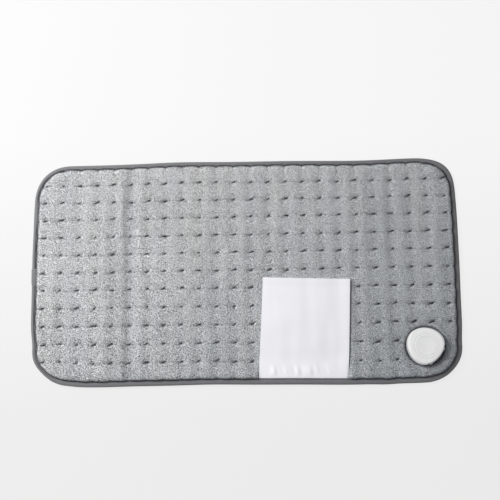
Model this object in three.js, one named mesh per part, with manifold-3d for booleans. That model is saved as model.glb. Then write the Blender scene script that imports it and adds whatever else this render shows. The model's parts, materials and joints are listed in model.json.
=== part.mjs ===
// A soft electric heating pad with a control puck clamped through one corner.
//
// The pad is a flat sandwich: a lower cover, a sheet of wadding, a thin carrier with the heating
// wire laid on it in long runs, and a tufted plush upper cover, all held round the edge by a folded
// binding. A puck, round with three soft sides, grips the two covers near one corner. It holds the
// circuit board, a sprung push button ringed by a light diffuser, and the socket for a detachable
// lead in its one straight side. A long cloth label is sewn into the binding and can be lifted.
//
// Millimetres, +Z up. The origin is the middle of the pad, on the surface that it lies on. The pad's
// length runs along X, and the puck is in the corner at +X, -Y. The puck is modelled in a frame of its
// own, with +X out through the socket, and a group sets it in place.

import * as THREE from "three";
import { mergeVertices } from "three/addons/utils/BufferGeometryUtils.js";
import Module from "manifold-3d";

const wasm = await Module();
wasm.setup();

// Clearances
const seat = 0.3; // between pieces that bear on each other
const running = 0.4; // round a piece that slides
const overrun = 2; // how far a cutting tool runs past what it cuts

// Pad outline
const padLength = 610;
const padWidth = 322;
const cornerRadius = 52;

// Sandwich of layers, from the surface upwards
const lowerCloth = 1.5;
const waddingThickness = 1.5;
const carrierThickness = 0.4;
const wireRadius = 0.8;
const pileAtTuft = 0.7;
const pileAtCrown = 3.2;
const pileAtRim = 0.9;
const rowDipShare = 0.62; // height between two tufts of one row, as a share of the crown's rise

const waddingFloor = lowerCloth + seat;
const waddingTop = waddingFloor + waddingThickness;
const carrierFloor = waddingTop + seat;
const carrierTop = carrierFloor + carrierThickness;
const wireCentre = carrierTop + seat + wireRadius;
const upperFloor = wireCentre + wireRadius + seat;
const tuftHeight = upperFloor + pileAtTuft;
const crownHeight = upperFloor + pileAtCrown;
const rimHeight = upperFloor + pileAtRim;

// Grid of tufts: as many as fit inside the margins
const columnPitch = 25;
const rowPitch = 25.7;
const leastEndMargin = 15;
const leastSideMargin = 30;
const tuftColumns = Math.floor((padLength - 2 * leastEndMargin) / columnPitch) + 1;
const tuftRows = Math.floor((padWidth - 2 * leastSideMargin) / rowPitch) + 1;

// Binding round the edge, and the covers' rims inside it
const bindingWidth = 9;
const bindingTape = 1;
const bindingRound = 1.2;
const lowerRim = 1;
const upperRim = 1.1;
const rimInset = 2.2; // from the pad's edge to the covers' edge, inside the binding's fold
const rimRise = 4; // how far in from the binding a cover takes to reach its full height
const foldDepth = 0.8;

const lowerRimFloor = bindingTape + seat;
const upperRimFloor = lowerRimFloor + lowerRim + seat;
const bindingHeight = upperRimFloor + upperRim + seat + bindingTape;

// Puck: its plan is worked out from the switch in its middle, through the board and the cup round
// them, to the flange that grips the covers
const puckEndInset = 54; // from the pad's end to the puck's axis
const puckSideInset = 50;
const portAngle = THREE.MathUtils.degToRad(-43); // direction in which the socket faces
const switchSide = 12;
const boardMargin = 10.6; // from the switch's side to the edge of the board
const cupWall = 2;
const clampWidth = 6.7; // how far the flange runs past the cup
const puckLobe = 0.75; // how far the three soft sides are drawn in and the corners between them out
const flatDepth = 5.5; // how much the flat side takes off the round
const holeClearance = 0.5;
const flangeThickness = 2;
const lowerPinch = 1.3; // thickness of each cover where the puck grips it
const upperPinch = 2;
const dishMargin = 2; // the gripped ground runs this far past the puck
const dishRise = 4.5; // width of the slope from the gripped ground up to the pad
const dishLap = 1.2; // the slope runs on this far into the pad's own layer
const dishTipReach = 18; // from the puck's axis to the middle of the low ground's round end

const puckX = padLength / 2 - puckEndInset;
const puckY = -padWidth / 2 + puckSideInset;
const boardRadius = switchSide / 2 + boardMargin;
const cupRadius = boardRadius + running + cupWall;
const clampHole = cupRadius + holeClearance; // radius of the hole through the covers
const puckRadius = cupRadius + clampWidth;
const puckFlat = puckRadius - flatDepth; // from the puck's axis to its flat side
const dishRadius = puckRadius + puckLobe + dishMargin;
const dishTipRadius = dishRadius / 2; // the round end of the low ground before the socket
const lowerPinchFloor = flangeThickness + seat;
const upperPinchFloor = lowerPinchFloor + lowerPinch + seat;
const shellFloor = upperPinchFloor + upperPinch + seat;

// Puck shell
const shellHeight = 13.3;
const shellWall = 2;
const shellRoof = 2;
const shellRound = 3;
const latchNotchRadius = 1.5; // upright grooves beside the socket, for the plug's latches
const latchNotchDepth = 1.1;
const latchNotchAngles = [-46, 46].map(THREE.MathUtils.degToRad);
const shellTop = shellFloor + shellHeight;
const roofFloor = shellTop - shellRoof;

// Base of the puck, under the pad
const cupHeight = shellFloor - seat / 2;
const footRound = 0.8;

// Screws that draw the base and the shell together
const screwGap = 0.65; // between a screw's bore and the cup
const screwAngles = [-135, -65, 65, 135].map(THREE.MathUtils.degToRad);
const screwRadius = 1.25;
const screwLength = 12;
const screwHeadRadius = 2.4;
const screwHeadHeight = 1.1;
const screwHeadSink = 0.2;
const screwSocketRadius = 0.8;
const screwSocketDepth = 0.6;
const bossRadius = 2.9;
const screwCircle = cupRadius + screwGap + seat + screwRadius;

// Circuit board
const boardThickness = 1.6;
const boardStandoff = 1.8;
const standoffRadius = 1.5;
const standoffInset = 3;
const standoffAngles = [-100, -20, 20, 100, 180].map(THREE.MathUtils.degToRad);
const standoffCircle = boardRadius - standoffInset;
const boardFloor = flangeThickness + boardStandoff;
const boardTop = boardFloor + boardThickness;

// Push switch in the middle of the board
const buttonTravel = 1;
const switchHeight = 4.3;
const plungerRadius = 3.3;
const plungerRise = 3; // how far the plunger stands out of the switch
const switchFloor = 0.5;
const switchTop = boardTop + switchHeight;
const plungerTop = switchTop + plungerRise;
const plungerFoot = boardTop + switchFloor + buttonTravel + running; // clear of the bottom when down

// Light ring inside the bosses, and the button inside the ring
const ringFlange = 1.8;
const ringFlangeHeight = 0.8;
const ringBand = 2.3; // width of the ring's visible face
const ringEdge = 0.25;
const ringRadius = screwCircle - bossRadius - seat - ringFlange;
const ringBore = ringRadius - ringBand;
const ringDepth = shellRoof + seat + ringFlangeHeight;
const ringFloor = shellTop - ringDepth;
const lightLegRadius = 0.8;
const lightLegAngles = [-125, -80, 80, 125].map(THREE.MathUtils.degToRad);
const lightLegCircle = ringRadius - lightLegRadius + seat / 2;
const buttonRadius = ringBore - running;
const buttonPlate = 1.8;
const buttonDish = 0.5; // depth of the hollow in the button's face
const buttonLip = 1.5; // width of the raised edge round that hollow
const buttonEdge = 0.25;
// Points across the hollow: how far out each lies, and how deep
const buttonHollowShares = [[1, 0], [0.7, 0.7], [0.35, 0.94], [0, 1]];
const buttonWall = 1.4;
const buttonFlange = 0.9;
const buttonFlangeHeight = 0.8;
const stemRadius = 2.2;
const buttonFlangeTop = ringFloor - seat;
const buttonFloor = buttonFlangeTop - buttonFlangeHeight;
const buttonPlateFloor = shellTop - buttonPlate;

// Return spring round the plunger
const springWire = 0.35; // radius of the wire
const springRadius = 4.6;
const springTurns = 4;
const springFloor = switchTop + seat;
const springTop = buttonPlateFloor - seat;

// Socket for the lead
const portHeight = 5.6;
const portWall = 0.9;
const portLip = 1.7; // how far the frame stands out of the flat side
const portEndLip = 0.5; // how far it does at its ends
const portFlangeSide = 6.1; // from the opening to the frame's end
const portFaceSide = 2.5; // from the opening to where the frame's face bends back
const portEndGap = 0.3; // from the frame's end to the end of the flat side
const portFlangeEdge = 1;
const portSleeve = 3.2;
const portFloor = shellFloor + portFlangeEdge + seat; // lowest point of the opening
const portBackWall = 1.5;
const portDepth = 7;
const portRound = 1.4;
const portTop = portFloor + portHeight;
const portReach = Math.sqrt(puckRadius ** 2 - puckFlat ** 2) - portEndGap;
const portWidth = 2 * (portReach - portFlangeSide);
const portOuterWidth = portWidth + 2 * portWall;
const portFace = puckFlat + portLip;
const portFaceReach = portWidth / 2 + portFaceSide;
const sleeveEnd = puckFlat - portSleeve;
const receptacleFront = sleeveEnd - seat;
const receptacleBack = receptacleFront - portDepth;
const receptacleFoot = 2.2;
const contactWidth = 2.4;
const contactThickness = 0.8;
const contactReach = 3;
const contactPitch = 5.5;

// Parts on the board, set round the switch
const partGap = 2.1;
const terminalLength = 4;
const terminalWidth = 4.4;
const terminalHeight = 3.6;
const terminalGap = 3.4; // from the switch's side to the near end of a terminal
const terminalCircle = switchSide / 2 + terminalGap + terminalLength / 2;
const terminalBore = 0.95;
const terminalBoreDepth = 1.6;
const chipSide = 4.6;
const chipHeight = 1.1;
const chipX = -(switchSide / 2 + partGap + chipSide / 2);
const transistorLength = 6;
const transistorWidth = 4.6;
const transistorHeight = 2.3;
const transistorX = -1;
const transistorY = switchSide / 2 + partGap + transistorWidth / 2;
const capacitorRadius = 2.4;
const capacitorHeight = 6;
const capacitorX = -0.6;
const capacitorY = -(switchSide / 2 + partGap + capacitorRadius);
const lampLength = 1.8;
const lampWidth = 1.2;
const lampHeight = 0.8;

// Leads from the board to the heating wire
const leadRadius = 0.6;
const leadAngles = [-150, 150].map(THREE.MathUtils.degToRad);
const leadPinchHeight = lowerPinchFloor + lowerPinch + seat + leadRadius;
const leadFieldHeight = carrierTop + seat + leadRadius;
const leadBoardHeight = boardTop + 2 * leadRadius;
const leadNotch = leadRadius + seat;
const leadNotchRoof = leadPinchHeight + leadRadius + seat;
const spliceRadius = 0.9;
const spliceLength = 10;
const fuseRadius = 0.9;
const fuseLength = 12;
const fuseGap = 56; // from the end of the return wire to the fuse

// Route of the heating wire
const turnInset = 42.5; // from the pad's far end to the middle of the turns there
const returnInset = 30; // from the pad's other end to the wire that runs back to the puck
const returnGap = 37.5; // from that wire to the middle of the turns beside it
const shortRunGap = 62.5; // from the puck's axis to the middle of the turns that stop short of it
const returnGapToPuck = 88; // from the puck's axis to the end of the return wire
const farTurnX = -padLength / 2 + turnInset;
const returnX = padLength / 2 - returnInset;
const nearTurnX = returnX - returnGap;
const shortTurnX = puckX - shortRunGap;
const returnFoot = puckY + returnGapToPuck;
const fuseFoot = returnFoot + fuseGap;
const fuseTop = fuseFoot + fuseLength;

// Sewn label
const labelWidth = 121;
const labelLength = 138;
const labelThickness = 0.5;
const labelEndInset = 221.8; // from the pad's end to the middle of the label's seam
const labelLeanShare = 0.0486; // sideways lean for each unit of length
const labelSeamGap = 0.64;
const labelRootInset = bindingWidth + labelSeamGap;
const labelMiddle = padLength / 2 - labelEndInset;

// Fineness of the round forms
const cornerSteps = 8;
const frameCornerSteps = 5;
const dishTipSteps = 4;
const dishStraightSteps = 3;
const dishRoundSteps = 12;
const roundSteps = 48;
const coverDishSteps = 36;
const boreSteps = 8;
const shellSteps = 56;
const edgeSteps = 3;
const postSteps = 12;
const bossSteps = 20;
const turnSteps = 6;
const wireSides = 6;
const leadSides = 8;
const leadSteps = 22;
const springSteps = 12;

// Colours, roughness and metalness
const finish = {
  plush: { color: 0x9aa0a4, roughness: 0.95, metalness: 0 },
  backing: { color: 0x8f9599, roughness: 0.95, metalness: 0 },
  felt: { color: 0xe6e4de, roughness: 1, metalness: 0 },
  binding: { color: 0x69696c, roughness: 0.85, metalness: 0 },
  label: { color: 0xe9e8ec, roughness: 0.6, metalness: 0 },
  shell: { color: 0xdadadb, roughness: 0.4, metalness: 0 },
  diffuser: { color: 0xf1f1ee, roughness: 0.3, metalness: 0 },
  darkPlastic: { color: 0x2b2c2e, roughness: 0.5, metalness: 0 },
  board: { color: 0x2f6b46, roughness: 0.5, metalness: 0 },
  steel: { color: 0xb9bcc0, roughness: 0.35, metalness: 1 },
  brass: { color: 0xc9a75a, roughness: 0.35, metalness: 1 },
  silicone: { color: 0xd8cfc2, roughness: 0.6, metalness: 0 },
};

// Booleans

// A closed geometry as a solid, with its shared vertices merged and flat triangles dropped.
function solidOf(geometry) {
  const bare = geometry.clone();
  bare.deleteAttribute("normal");
  bare.deleteAttribute("uv");
  const merged = mergeVertices(bare);
  const corners = merged.index.array;
  const kept = [];
  for (let i = 0; i < corners.length; i += 3) {
    const [a, b, c] = [corners[i], corners[i + 1], corners[i + 2]];
    if (a !== b && b !== c && c !== a) kept.push(a, b, c);
  }
  const build = (triangles) =>
    new wasm.Manifold(
      new wasm.Mesh({
        numProp: 3,
        vertProperties: new Float32Array(merged.attributes.position.array),
        triVerts: new Uint32Array(triangles),
      }),
    );
  const made = build(kept);
  return made.volume() > 0 ? made : build(kept.reverse());
}

function geometryOf(solid) {
  const mesh = solid.getMesh();
  const geometry = new THREE.BufferGeometry();
  geometry.setAttribute("position", new THREE.BufferAttribute(mesh.vertProperties, 3));
  geometry.setIndex(new THREE.BufferAttribute(mesh.triVerts, 1));
  return geometry;
}

const join = (...geometries) =>
  geometryOf(geometries.map(solidOf).reduce((all, next) => all.add(next)));
const cut = (body, ...tools) =>
  geometryOf(tools.map(solidOf).reduce((rest, tool) => rest.subtract(tool), solidOf(body)));
const common = (body, other) => geometryOf(solidOf(body).intersect(solidOf(other)));

// Basic shapes

// A body turned round +Z from a closed profile of [radius, height] points.
function turned(profile, steps = roundSteps) {
  const points = profile.map(([radius, height]) => new THREE.Vector2(radius, height));
  points.push(points[0].clone());
  return new THREE.LatheGeometry(points, steps).rotateX(Math.PI / 2);
}

function post(radius, floor, top, x = 0, y = 0, steps = roundSteps / 2) {
  const geometry = new THREE.CylinderGeometry(radius, radius, top - floor, steps);
  return geometry.rotateX(Math.PI / 2).translate(x, y, (floor + top) / 2);
}

function block(x0, x1, y0, y1, z0, z1) {
  const geometry = new THREE.BoxGeometry(x1 - x0, y1 - y0, z1 - z0);
  return geometry.translate((x0 + x1) / 2, (y0 + y1) / 2, (z0 + z1) / 2);
}

function slab(shape, floor, top, steps = cornerSteps) {
  const geometry = new THREE.ExtrudeGeometry(shape, {
    depth: top - floor,
    bevelEnabled: false,
    curveSegments: steps,
  });
  return geometry.translate(0, 0, floor);
}

const polar = (radius, angle) => [radius * Math.cos(angle), radius * Math.sin(angle)];

// Skins built point by point: rings joined by bands, and flat ends triangulated in plan.
class Skin {
  constructor() {
    this.points = [];
    this.triangles = [];
  }
  add(x, y, z) {
    this.points.push(new THREE.Vector3(x, y, z));
    return this.points.length - 1;
  }
  ring(outline, z) {
    return outline.map(([x, y]) => this.add(x, y, z));
  }
  band(from, to) {
    from.forEach((a, i) => {
      const next = (i + 1) % from.length;
      this.triangles.push(a, from[next], to[next], a, to[next], to[i]);
    });
  }
  cap(outer, holes, facingUp) {
    const plan = (ring) => ring.map((i) => new THREE.Vector2(this.points[i].x, this.points[i].y));
    const all = [outer, ...holes].flat();
    const faces = THREE.ShapeUtils.triangulateShape(plan(outer), holes.map(plan));
    for (const [a, b, c] of faces.map((face) => face.map((i) => all[i]))) {
      const [p, q, r] = [a, b, c].map((i) => this.points[i]);
      const turn = (q.x - p.x) * (r.y - p.y) - (q.y - p.y) * (r.x - p.x);
      this.triangles.push(...(turn > 0 === facingUp ? [a, b, c] : [a, c, b]));
    }
  }
  geometry() {
    const geometry = new THREE.BufferGeometry().setFromPoints(this.points);
    geometry.setIndex(this.triangles);
    return geometry;
  }
}

// A solid lofted through rings of equal length, from its underside's middle out, up and back in.
function loft(rings) {
  const skin = new Skin();
  const laid = rings.map(([outline, z]) => skin.ring(outline, z));
  laid.slice(1).forEach((ring, i) => skin.band(laid[i], ring));
  skin.cap(laid[0], [], false);
  skin.cap(laid.at(-1), [], true);
  return skin.geometry();
}

// A closed ring with the section that a loop of rings draws.
function hoop(rings) {
  const skin = new Skin();
  const laid = rings.map(([outline, z]) => skin.ring(outline, z));
  laid.forEach((ring, i) => skin.band(ring, laid[(i + 1) % laid.length]));
  return skin.geometry();
}

// A round tube through points that lie nearly level, with one ring of corners at each.
function wireThrough(path, radius, sides) {
  const skin = new Skin();
  const up = new THREE.Vector3(0, 0, 1);
  const rings = path.map((point, i) => {
    const before = path[Math.max(i - 1, 0)];
    const after = path[Math.min(i + 1, path.length - 1)];
    const along = after.clone().sub(before).normalize();
    const side = new THREE.Vector3().crossVectors(up, along).normalize();
    const lift = new THREE.Vector3().crossVectors(along, side);
    return Array.from({ length: sides }, (_, k) => {
      const turn = (2 * Math.PI * (k + 0.5)) / sides;
      const corner = point.clone();
      corner.addScaledVector(side, radius * Math.cos(turn));
      corner.addScaledVector(lift, radius * Math.sin(turn));
      return skin.add(corner.x, corner.y, corner.z);
    });
  });
  rings.slice(1).forEach((ring, i) => skin.band(rings[i], ring));
  for (let k = 1; k < sides - 1; k += 1) {
    skin.triangles.push(rings[0][0], rings[0][k + 1], rings[0][k]);
    skin.triangles.push(rings.at(-1)[0], rings.at(-1)[k], rings.at(-1)[k + 1]);
  }
  return skin.geometry();
}

// Outlines

// The pad's rounded rectangle, drawn in by an inset, anticlockwise from the corner at +X, +Y.
function padOutline(inset, steps = cornerSteps) {
  const reachX = padLength / 2 - cornerRadius;
  const reachY = padWidth / 2 - cornerRadius;
  const radius = cornerRadius - inset;
  const corners = [
    [reachX, reachY, 0],
    [-reachX, reachY, 1],
    [-reachX, -reachY, 2],
    [reachX, -reachY, 3],
  ];
  return corners.flatMap(([x, y, quarter]) =>
    Array.from({ length: steps + 1 }, (_, i) => {
      const angle = ((quarter + i / steps) * Math.PI) / 2;
      return [x + radius * Math.cos(angle), y + radius * Math.sin(angle)];
    }),
  );
}

// The low ground round the puck, in the puck's frame: a large arc round the puck and a small one
// before the socket, joined by straight tangents. The margin moves the outline out.
function dishOutline(margin) {
  const tangent = Math.acos((dishRadius - dishTipRadius) / dishTipReach);
  const arc = (x, radius, from, to, steps) =>
    Array.from({ length: steps + 1 }, (_, i) => {
      const angle = from + ((to - from) * i) / steps;
      return [x + radius * Math.cos(angle), radius * Math.sin(angle)];
    });
  const tip = arc(dishTipReach, dishTipRadius + margin, -tangent, tangent, dishTipSteps);
  const round = arc(0, dishRadius + margin, tangent, 2 * Math.PI - tangent, dishRoundSteps);
  const straight = ([x0, y0], [x1, y1]) =>
    Array.from({ length: dishStraightSteps - 1 }, (_, i) => {
      const share = (i + 1) / dishStraightSteps;
      return [x0 + (x1 - x0) * share, y0 + (y1 - y0) * share];
    });
  return [...tip, ...straight(tip.at(-1), round[0]), ...round, ...straight(round.at(-1), tip[0])];
}

// A circle with as many points as the outline, each in the same direction from the puck's axis.
const circleLike = (outline, radius) =>
  outline.map(([x, y]) => polar(radius, Math.atan2(y, x)));

const shapeOf = (outline) => new THREE.Shape(outline.map(([x, y]) => new THREE.Vector2(x, y)));

// The puck's place on the pad
const puck = new THREE.Group();
puck.position.set(puckX, puckY, 0);
puck.rotation.z = portAngle;
puck.updateMatrix();
const onPad = (geometry) => geometry.applyMatrix4(puck.matrix);

// Bores for the four screws.
function screwBores(radius, floor, top) {
  return screwAngles.map((angle) =>
    post(radius, floor, top, ...polar(screwCircle, angle), boreSteps),
  );
}

// A radial slot for a lead, in the puck's frame.
function leadSlot(angle, from, to, floor, top) {
  return block(from, to, -leadNotch, leadNotch, floor, top).rotateZ(angle);
}

// Pad layers

// The plush is drawn down to the tufts, and lies in soft folds along their columns. Each patch
// between four tufts rises from them, and from the lower swell between two tufts of a row, to its
// crown.
function upperCoverSheet() {
  const skin = new Skin();
  const ring = (inset, z) => skin.ring(padOutline(inset), z);
  const rimTop = upperRimFloor + upperRim;
  const under = ring(bindingWidth + rimRise + foldDepth, upperFloor);
  const rings = [
    under,
    ring(bindingWidth + seat, upperRimFloor),
    ring(rimInset, upperRimFloor),
    ring(rimInset, rimTop),
    ring(bindingWidth + seat, rimTop),
    ring(bindingWidth + rimRise, rimHeight),
  ];
  rings.slice(1).forEach((next, i) => skin.band(rings[i], next));
  skin.cap(under, [], false);

  const columnX = (column) => (column - (tuftColumns - 1) / 2) * columnPitch;
  const rowY = (row) => (row - (tuftRows - 1) / 2) * rowPitch;
  const swellHeight = tuftHeight + (crownHeight - tuftHeight) * rowDipShare;
  const rows = Array.from({ length: tuftRows }, (_, row) =>
    Array.from({ length: 2 * tuftColumns - 1 }, (_, i) =>
      skin.add(columnX(i / 2), rowY(row), i % 2 === 0 ? tuftHeight : swellHeight),
    ),
  );
  // The rim's round corners take the place of the four corner tufts.
  const corners = [rows[0], rows.at(-1)].flatMap((line) => [line[0], line.at(-1)]);
  const sewn = (tuft) => !corners.includes(tuft);
  for (let row = 0; row < tuftRows - 1; row += 1) {
    for (let column = 0; column < tuftColumns - 1; column += 1) {
      const near = rows[row].slice(2 * column, 2 * column + 3);
      const far = rows[row + 1].slice(2 * column, 2 * column + 3).reverse();
      const crown = skin.add(columnX(column + 1 / 2), rowY(row + 1 / 2), crownHeight);
      const patch = [...near, ...far].filter(sewn);
      patch.forEach((corner, i) =>
        skin.triangles.push(corner, patch[(i + 1) % patch.length], crown),
      );
    }
  }
  const border = [
    ...rows[0],
    ...rows.slice(1, -1).map((line) => line.at(-1)),
    ...[...rows.at(-1)].reverse(),
    ...rows.slice(1, -1).map((line) => line[0]).reverse(),
  ];
  skin.cap(rings.at(-1), [border.filter(sewn)], true);
  return skin.geometry();
}

// The plush dips round the puck, where the puck grips it, and stays low before the socket.
function upperCoverDish() {
  const edge = dishOutline(0);
  const slope = dishOutline(dishRise + dishLap / 2);
  const hole = circleLike(edge, clampHole);
  const pinchTop = upperPinchFloor + upperPinch;
  return onPad(
    hoop([
      [hole, upperPinchFloor],
      [edge, upperPinchFloor],
      [slope, upperFloor + pileAtTuft / 4],
      [dishOutline(dishRise + dishLap), upperFloor + pileAtTuft / 2],
      [slope, tuftHeight],
      [dishOutline(seat), pinchTop],
      [hole, pinchTop],
    ]),
  );
}

function upperCover() {
  const well = onPad(slab(shapeOf(dishOutline(dishRise)), 0, crownHeight + overrun));
  const bores = screwBores(screwRadius + seat, 0, crownHeight).map(onPad);
  const notchEnd = dishRadius + dishRise;
  const leads = leadAngles.map((angle) =>
    onPad(leadSlot(angle, cupRadius - cupWall, notchEnd, lowerPinchFloor, leadNotchRoof)),
  );
  return cut(join(cut(upperCoverSheet(), well), upperCoverDish()), ...bores, ...leads);
}

function lowerCover() {
  const ring = (inset) => padOutline(inset);
  const flat = bindingWidth + rimRise;
  const sheet = loft([
    [ring(flat), 0],
    [ring(bindingWidth + seat), lowerRimFloor],
    [ring(rimInset), lowerRimFloor],
    [ring(rimInset), lowerRimFloor + lowerRim],
    [ring(bindingWidth + seat), lowerRimFloor + lowerRim],
    [ring(flat), lowerCloth],
  ]);
  const foot = dishRadius + dishRise;
  const well = onPad(post(foot, -overrun, lowerCloth + overrun, 0, 0, coverDishSteps));
  const pinchTop = lowerPinchFloor + lowerPinch;
  const dish = onPad(
    turned([
      [clampHole, lowerPinchFloor],
      [dishRadius - dishLap, lowerPinchFloor],
      [foot, 0],
      [foot + dishLap, 0],
      [foot + dishLap, lowerCloth],
      [foot, lowerCloth],
      [dishRadius, pinchTop],
      [clampHole, pinchTop],
    ], coverDishSteps),
  );
  const bores = screwBores(screwRadius + seat, 0, crownHeight).map(onPad);
  return cut(join(cut(sheet, well), dish), ...bores);
}

// A flat inner sheet that stops short of the rim and leaves out the ground round the puck.
function innerSheet(inset, floor, thickness) {
  const shape = shapeOf(padOutline(inset));
  const top = floor + thickness;
  const clearing = shapeOf(dishOutline(dishRise + dishLap + seat));
  return cut(slab(shape, floor, top), onPad(slab(clearing, floor - overrun, top + overrun)));
}

function edgeBinding() {
  const top = bindingHeight;
  const middle = bindingHeight / 2;
  const lip = bindingRound / 3;
  return hoop([
    [padOutline(bindingWidth), 0],
    [padOutline(bindingRound), 0],
    [padOutline(lip), bindingRound / 2],
    [padOutline(0), middle],
    [padOutline(lip), top - bindingRound / 2],
    [padOutline(bindingRound), top],
    [padOutline(bindingWidth), top],
    [padOutline(bindingWidth), top - bindingTape],
    [padOutline(bindingTape + foldDepth), top - bindingTape],
    [padOutline(bindingTape), middle],
    [padOutline(bindingTape + foldDepth), bindingTape],
    [padOutline(bindingWidth), bindingTape],
  ]);
}

// Heating wire: parallel runs between the rows of tufts, joined by half turns at alternate ends,
// then a return down the puck's side. The runs beside the puck stop short of it.
function heatingWirePath() {
  const path = [];
  const add = (x, y) => path.push(new THREE.Vector3(x, y, wireCentre));
  const halfTurn = (x, y, side) => {
    for (let i = 1; i < turnSteps; i += 1) {
      const angle = -Math.PI / 2 + (Math.PI * i) / turnSteps;
      add(x + (side * rowPitch * Math.cos(angle)) / 2, y + (rowPitch * Math.sin(angle)) / 2);
    }
  };
  const runs = tuftRows + 1;
  const runY = (run) => (run - (runs - 1) / 2) * rowPitch;
  const clearOfPuck = puckY + dishRadius + dishRise + dishLap;
  const nearX = (run) => (runY(run) < clearOfPuck ? shortTurnX : nearTurnX);
  for (let run = 0; run < runs; run += 1) {
    const outward = run % 2 === 1; // towards the puck's end
    const before = Math.min(nearX(run), nearX(Math.max(run - 1, 0)));
    const after = Math.min(nearX(run), nearX(Math.min(run + 1, runs - 1)));
    add(outward ? farTurnX : before, runY(run));
    add(outward ? after : farTurnX, runY(run));
    const turnY = runY(run) + rowPitch / 2;
    if (run < runs - 1) halfTurn(outward ? after : farTurnX, turnY, outward ? 1 : -1);
  }
  for (let i = 1; i <= turnSteps; i += 1) {
    const angle = (Math.PI / 2) * (1 - i / turnSteps);
    const x = nearTurnX + returnGap * Math.cos(angle);
    add(x, runY(runs - 1) - returnGap * (1 - Math.sin(angle)));
  }
  add(returnX, fuseTop + seat);
  return path;
}

// A straight piece of the return, from one Y to another.
function straightWire(from, to, radius) {
  const path = [from, to].map((y) => new THREE.Vector3(returnX, y, wireCentre));
  return wireThrough(path, radius, wireSides);
}

// The leads leave the board, drop through the base's wall, pass between the gripped covers and
// rise to the splices. The points past the dish are counted from the puck's axis and then from the
// splice.
const leadsFromPuck = [
  [[-36.5, 6.5], [-41.5, 0], [-42.5, -12]],
  [[-10, 39], [-2.5, 44], [9, 49]],
];
const leadsFromSplice = [
  [[8.7, 7.35], [5.2, 1.85]],
  [[-5, -21.7], [0, -11.7]],
];
const spliceEnds = [
  [shortTurnX + seat, (-tuftRows * rowPitch) / 2],
  [returnX, returnFoot - seat],
];

// The splice takes up the stretch between the lead's end and the heating wire's end.
function spliceSpan(index) {
  const end = new THREE.Vector3(...spliceEnds[index], wireCentre);
  const start = end.clone();
  start[index === 0 ? "x" : "y"] += index === 0 ? spliceLength : -spliceLength;
  return [start, end];
}

function leadPath(index) {
  const terminalFace = terminalCircle + terminalLength / 2;
  const radial = [
    [terminalFace - terminalBoreDepth + seat, leadBoardHeight],
    [terminalFace + leadRadius, leadBoardHeight],
    [cupRadius - cupWall - leadRadius, (leadBoardHeight + leadPinchHeight) / 2],
    [cupRadius + leadRadius, leadPinchHeight],
    [dishRadius - dishLap, leadPinchHeight],
    [dishRadius + dishRise, leadFieldHeight],
  ];
  const inPuck = radial.map(([radius, height]) => {
    const [x, y] = polar(radius, leadAngles[index]);
    return new THREE.Vector3(x, y, height).applyMatrix4(puck.matrix);
  });
  const [splice] = spliceSpan(index);
  const flat = (origin) => ([x, y]) =>
    new THREE.Vector3(origin.x + x, origin.y + y, leadFieldHeight);
  return [
    ...inPuck,
    ...leadsFromPuck[index].map(flat(puck.position)),
    ...leadsFromSplice[index].map(flat(splice)),
  ];
}

function lead(index) {
  const [start, end] = spliceSpan(index);
  const along = start.clone().sub(end).normalize();
  const stop = start.clone().addScaledVector(along, seat);
  const curve = new THREE.CatmullRomCurve3(
    [...leadPath(index), stop.clone().addScaledVector(along, 2 * leadRadius), stop],
    false,
    "centripetal",
  );
  const path = Array.from({ length: leadSteps + 1 }, (_, i) => curve.getPointAt(i / leadSteps));
  return wireThrough(path, leadRadius, leadSides);
}

// Label

// The label rises from its seam over the cover's rim, and then lies on the crowns.
function label() {
  const root = -padWidth / 2 + labelRootInset;
  const firstCrown = -((tuftRows - 2) / 2) * rowPitch - root;
  const rise = [
    [0, bindingHeight + seat],
    [bindingWidth + rimRise - labelRootInset, rimHeight + seat],
    [firstCrown, crownHeight + seat],
    [labelLength, crownHeight + seat],
  ];
  const section = new THREE.Shape([
    ...rise.map(([y, z]) => new THREE.Vector2(y, z)),
    ...rise.map(([y, z]) => new THREE.Vector2(y, z + labelThickness)).reverse(),
  ]);
  const geometry = new THREE.ExtrudeGeometry(section, { depth: labelWidth, bevelEnabled: false });
  // The section is drawn in Y and Z and pushed along X, then leaned sideways along its length.
  geometry.applyMatrix4(new THREE.Matrix4().makeBasis(
    new THREE.Vector3(0, 1, 0),
    new THREE.Vector3(0, 0, 1),
    new THREE.Vector3(1, 0, 0),
  ));
  geometry.applyMatrix4(new THREE.Matrix4().makeShear(0, 0, labelLeanShare, 0, 0, 0));
  return geometry.translate(labelMiddle - labelWidth / 2, root, 0);
}

// Puck housing

// The rounded edge between a side and the face above it, from the side inwards.
const roundedEdge = (side, top, round) =>
  Array.from({ length: edgeSteps + 1 }, (_, i) => {
    const angle = ((Math.PI / 2) * i) / edgeSteps;
    return [side - round * (1 - Math.cos(angle)), top - round * (1 - Math.sin(angle))];
  });

// A section drawn outwards and up, swept across the puck from one side to the other.
function sweptAcross(section, from, to) {
  const shape = new THREE.Shape(section.map(([x, z]) => new THREE.Vector2(x, z)));
  return slab(shape, -to, -from).rotateX(Math.PI / 2);
}

// The puck's plan, drawn in by an inset: a round with three soft sides, one of them at the socket.
function puckOutline(inset) {
  return Array.from({ length: shellSteps }, (_, i) => {
    const angle = (2 * Math.PI * i) / shellSteps;
    return polar(puckRadius - inset - puckLobe * Math.cos(3 * angle), angle);
  });
}

// A body of the puck's plan with a straight side at the given distance, whose upper edge may be
// rounded like the rest.
function flatSided(body, flat, top, round = 0) {
  const edge = round > 0 ? roundedEdge(flat, top, round) : [[flat, top]];
  const section = [[-2 * puckRadius, -overrun], [flat, -overrun], ...edge, [-2 * puckRadius, top]];
  return common(body, sweptAcross(section, -2 * puckRadius, 2 * puckRadius));
}

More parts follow.
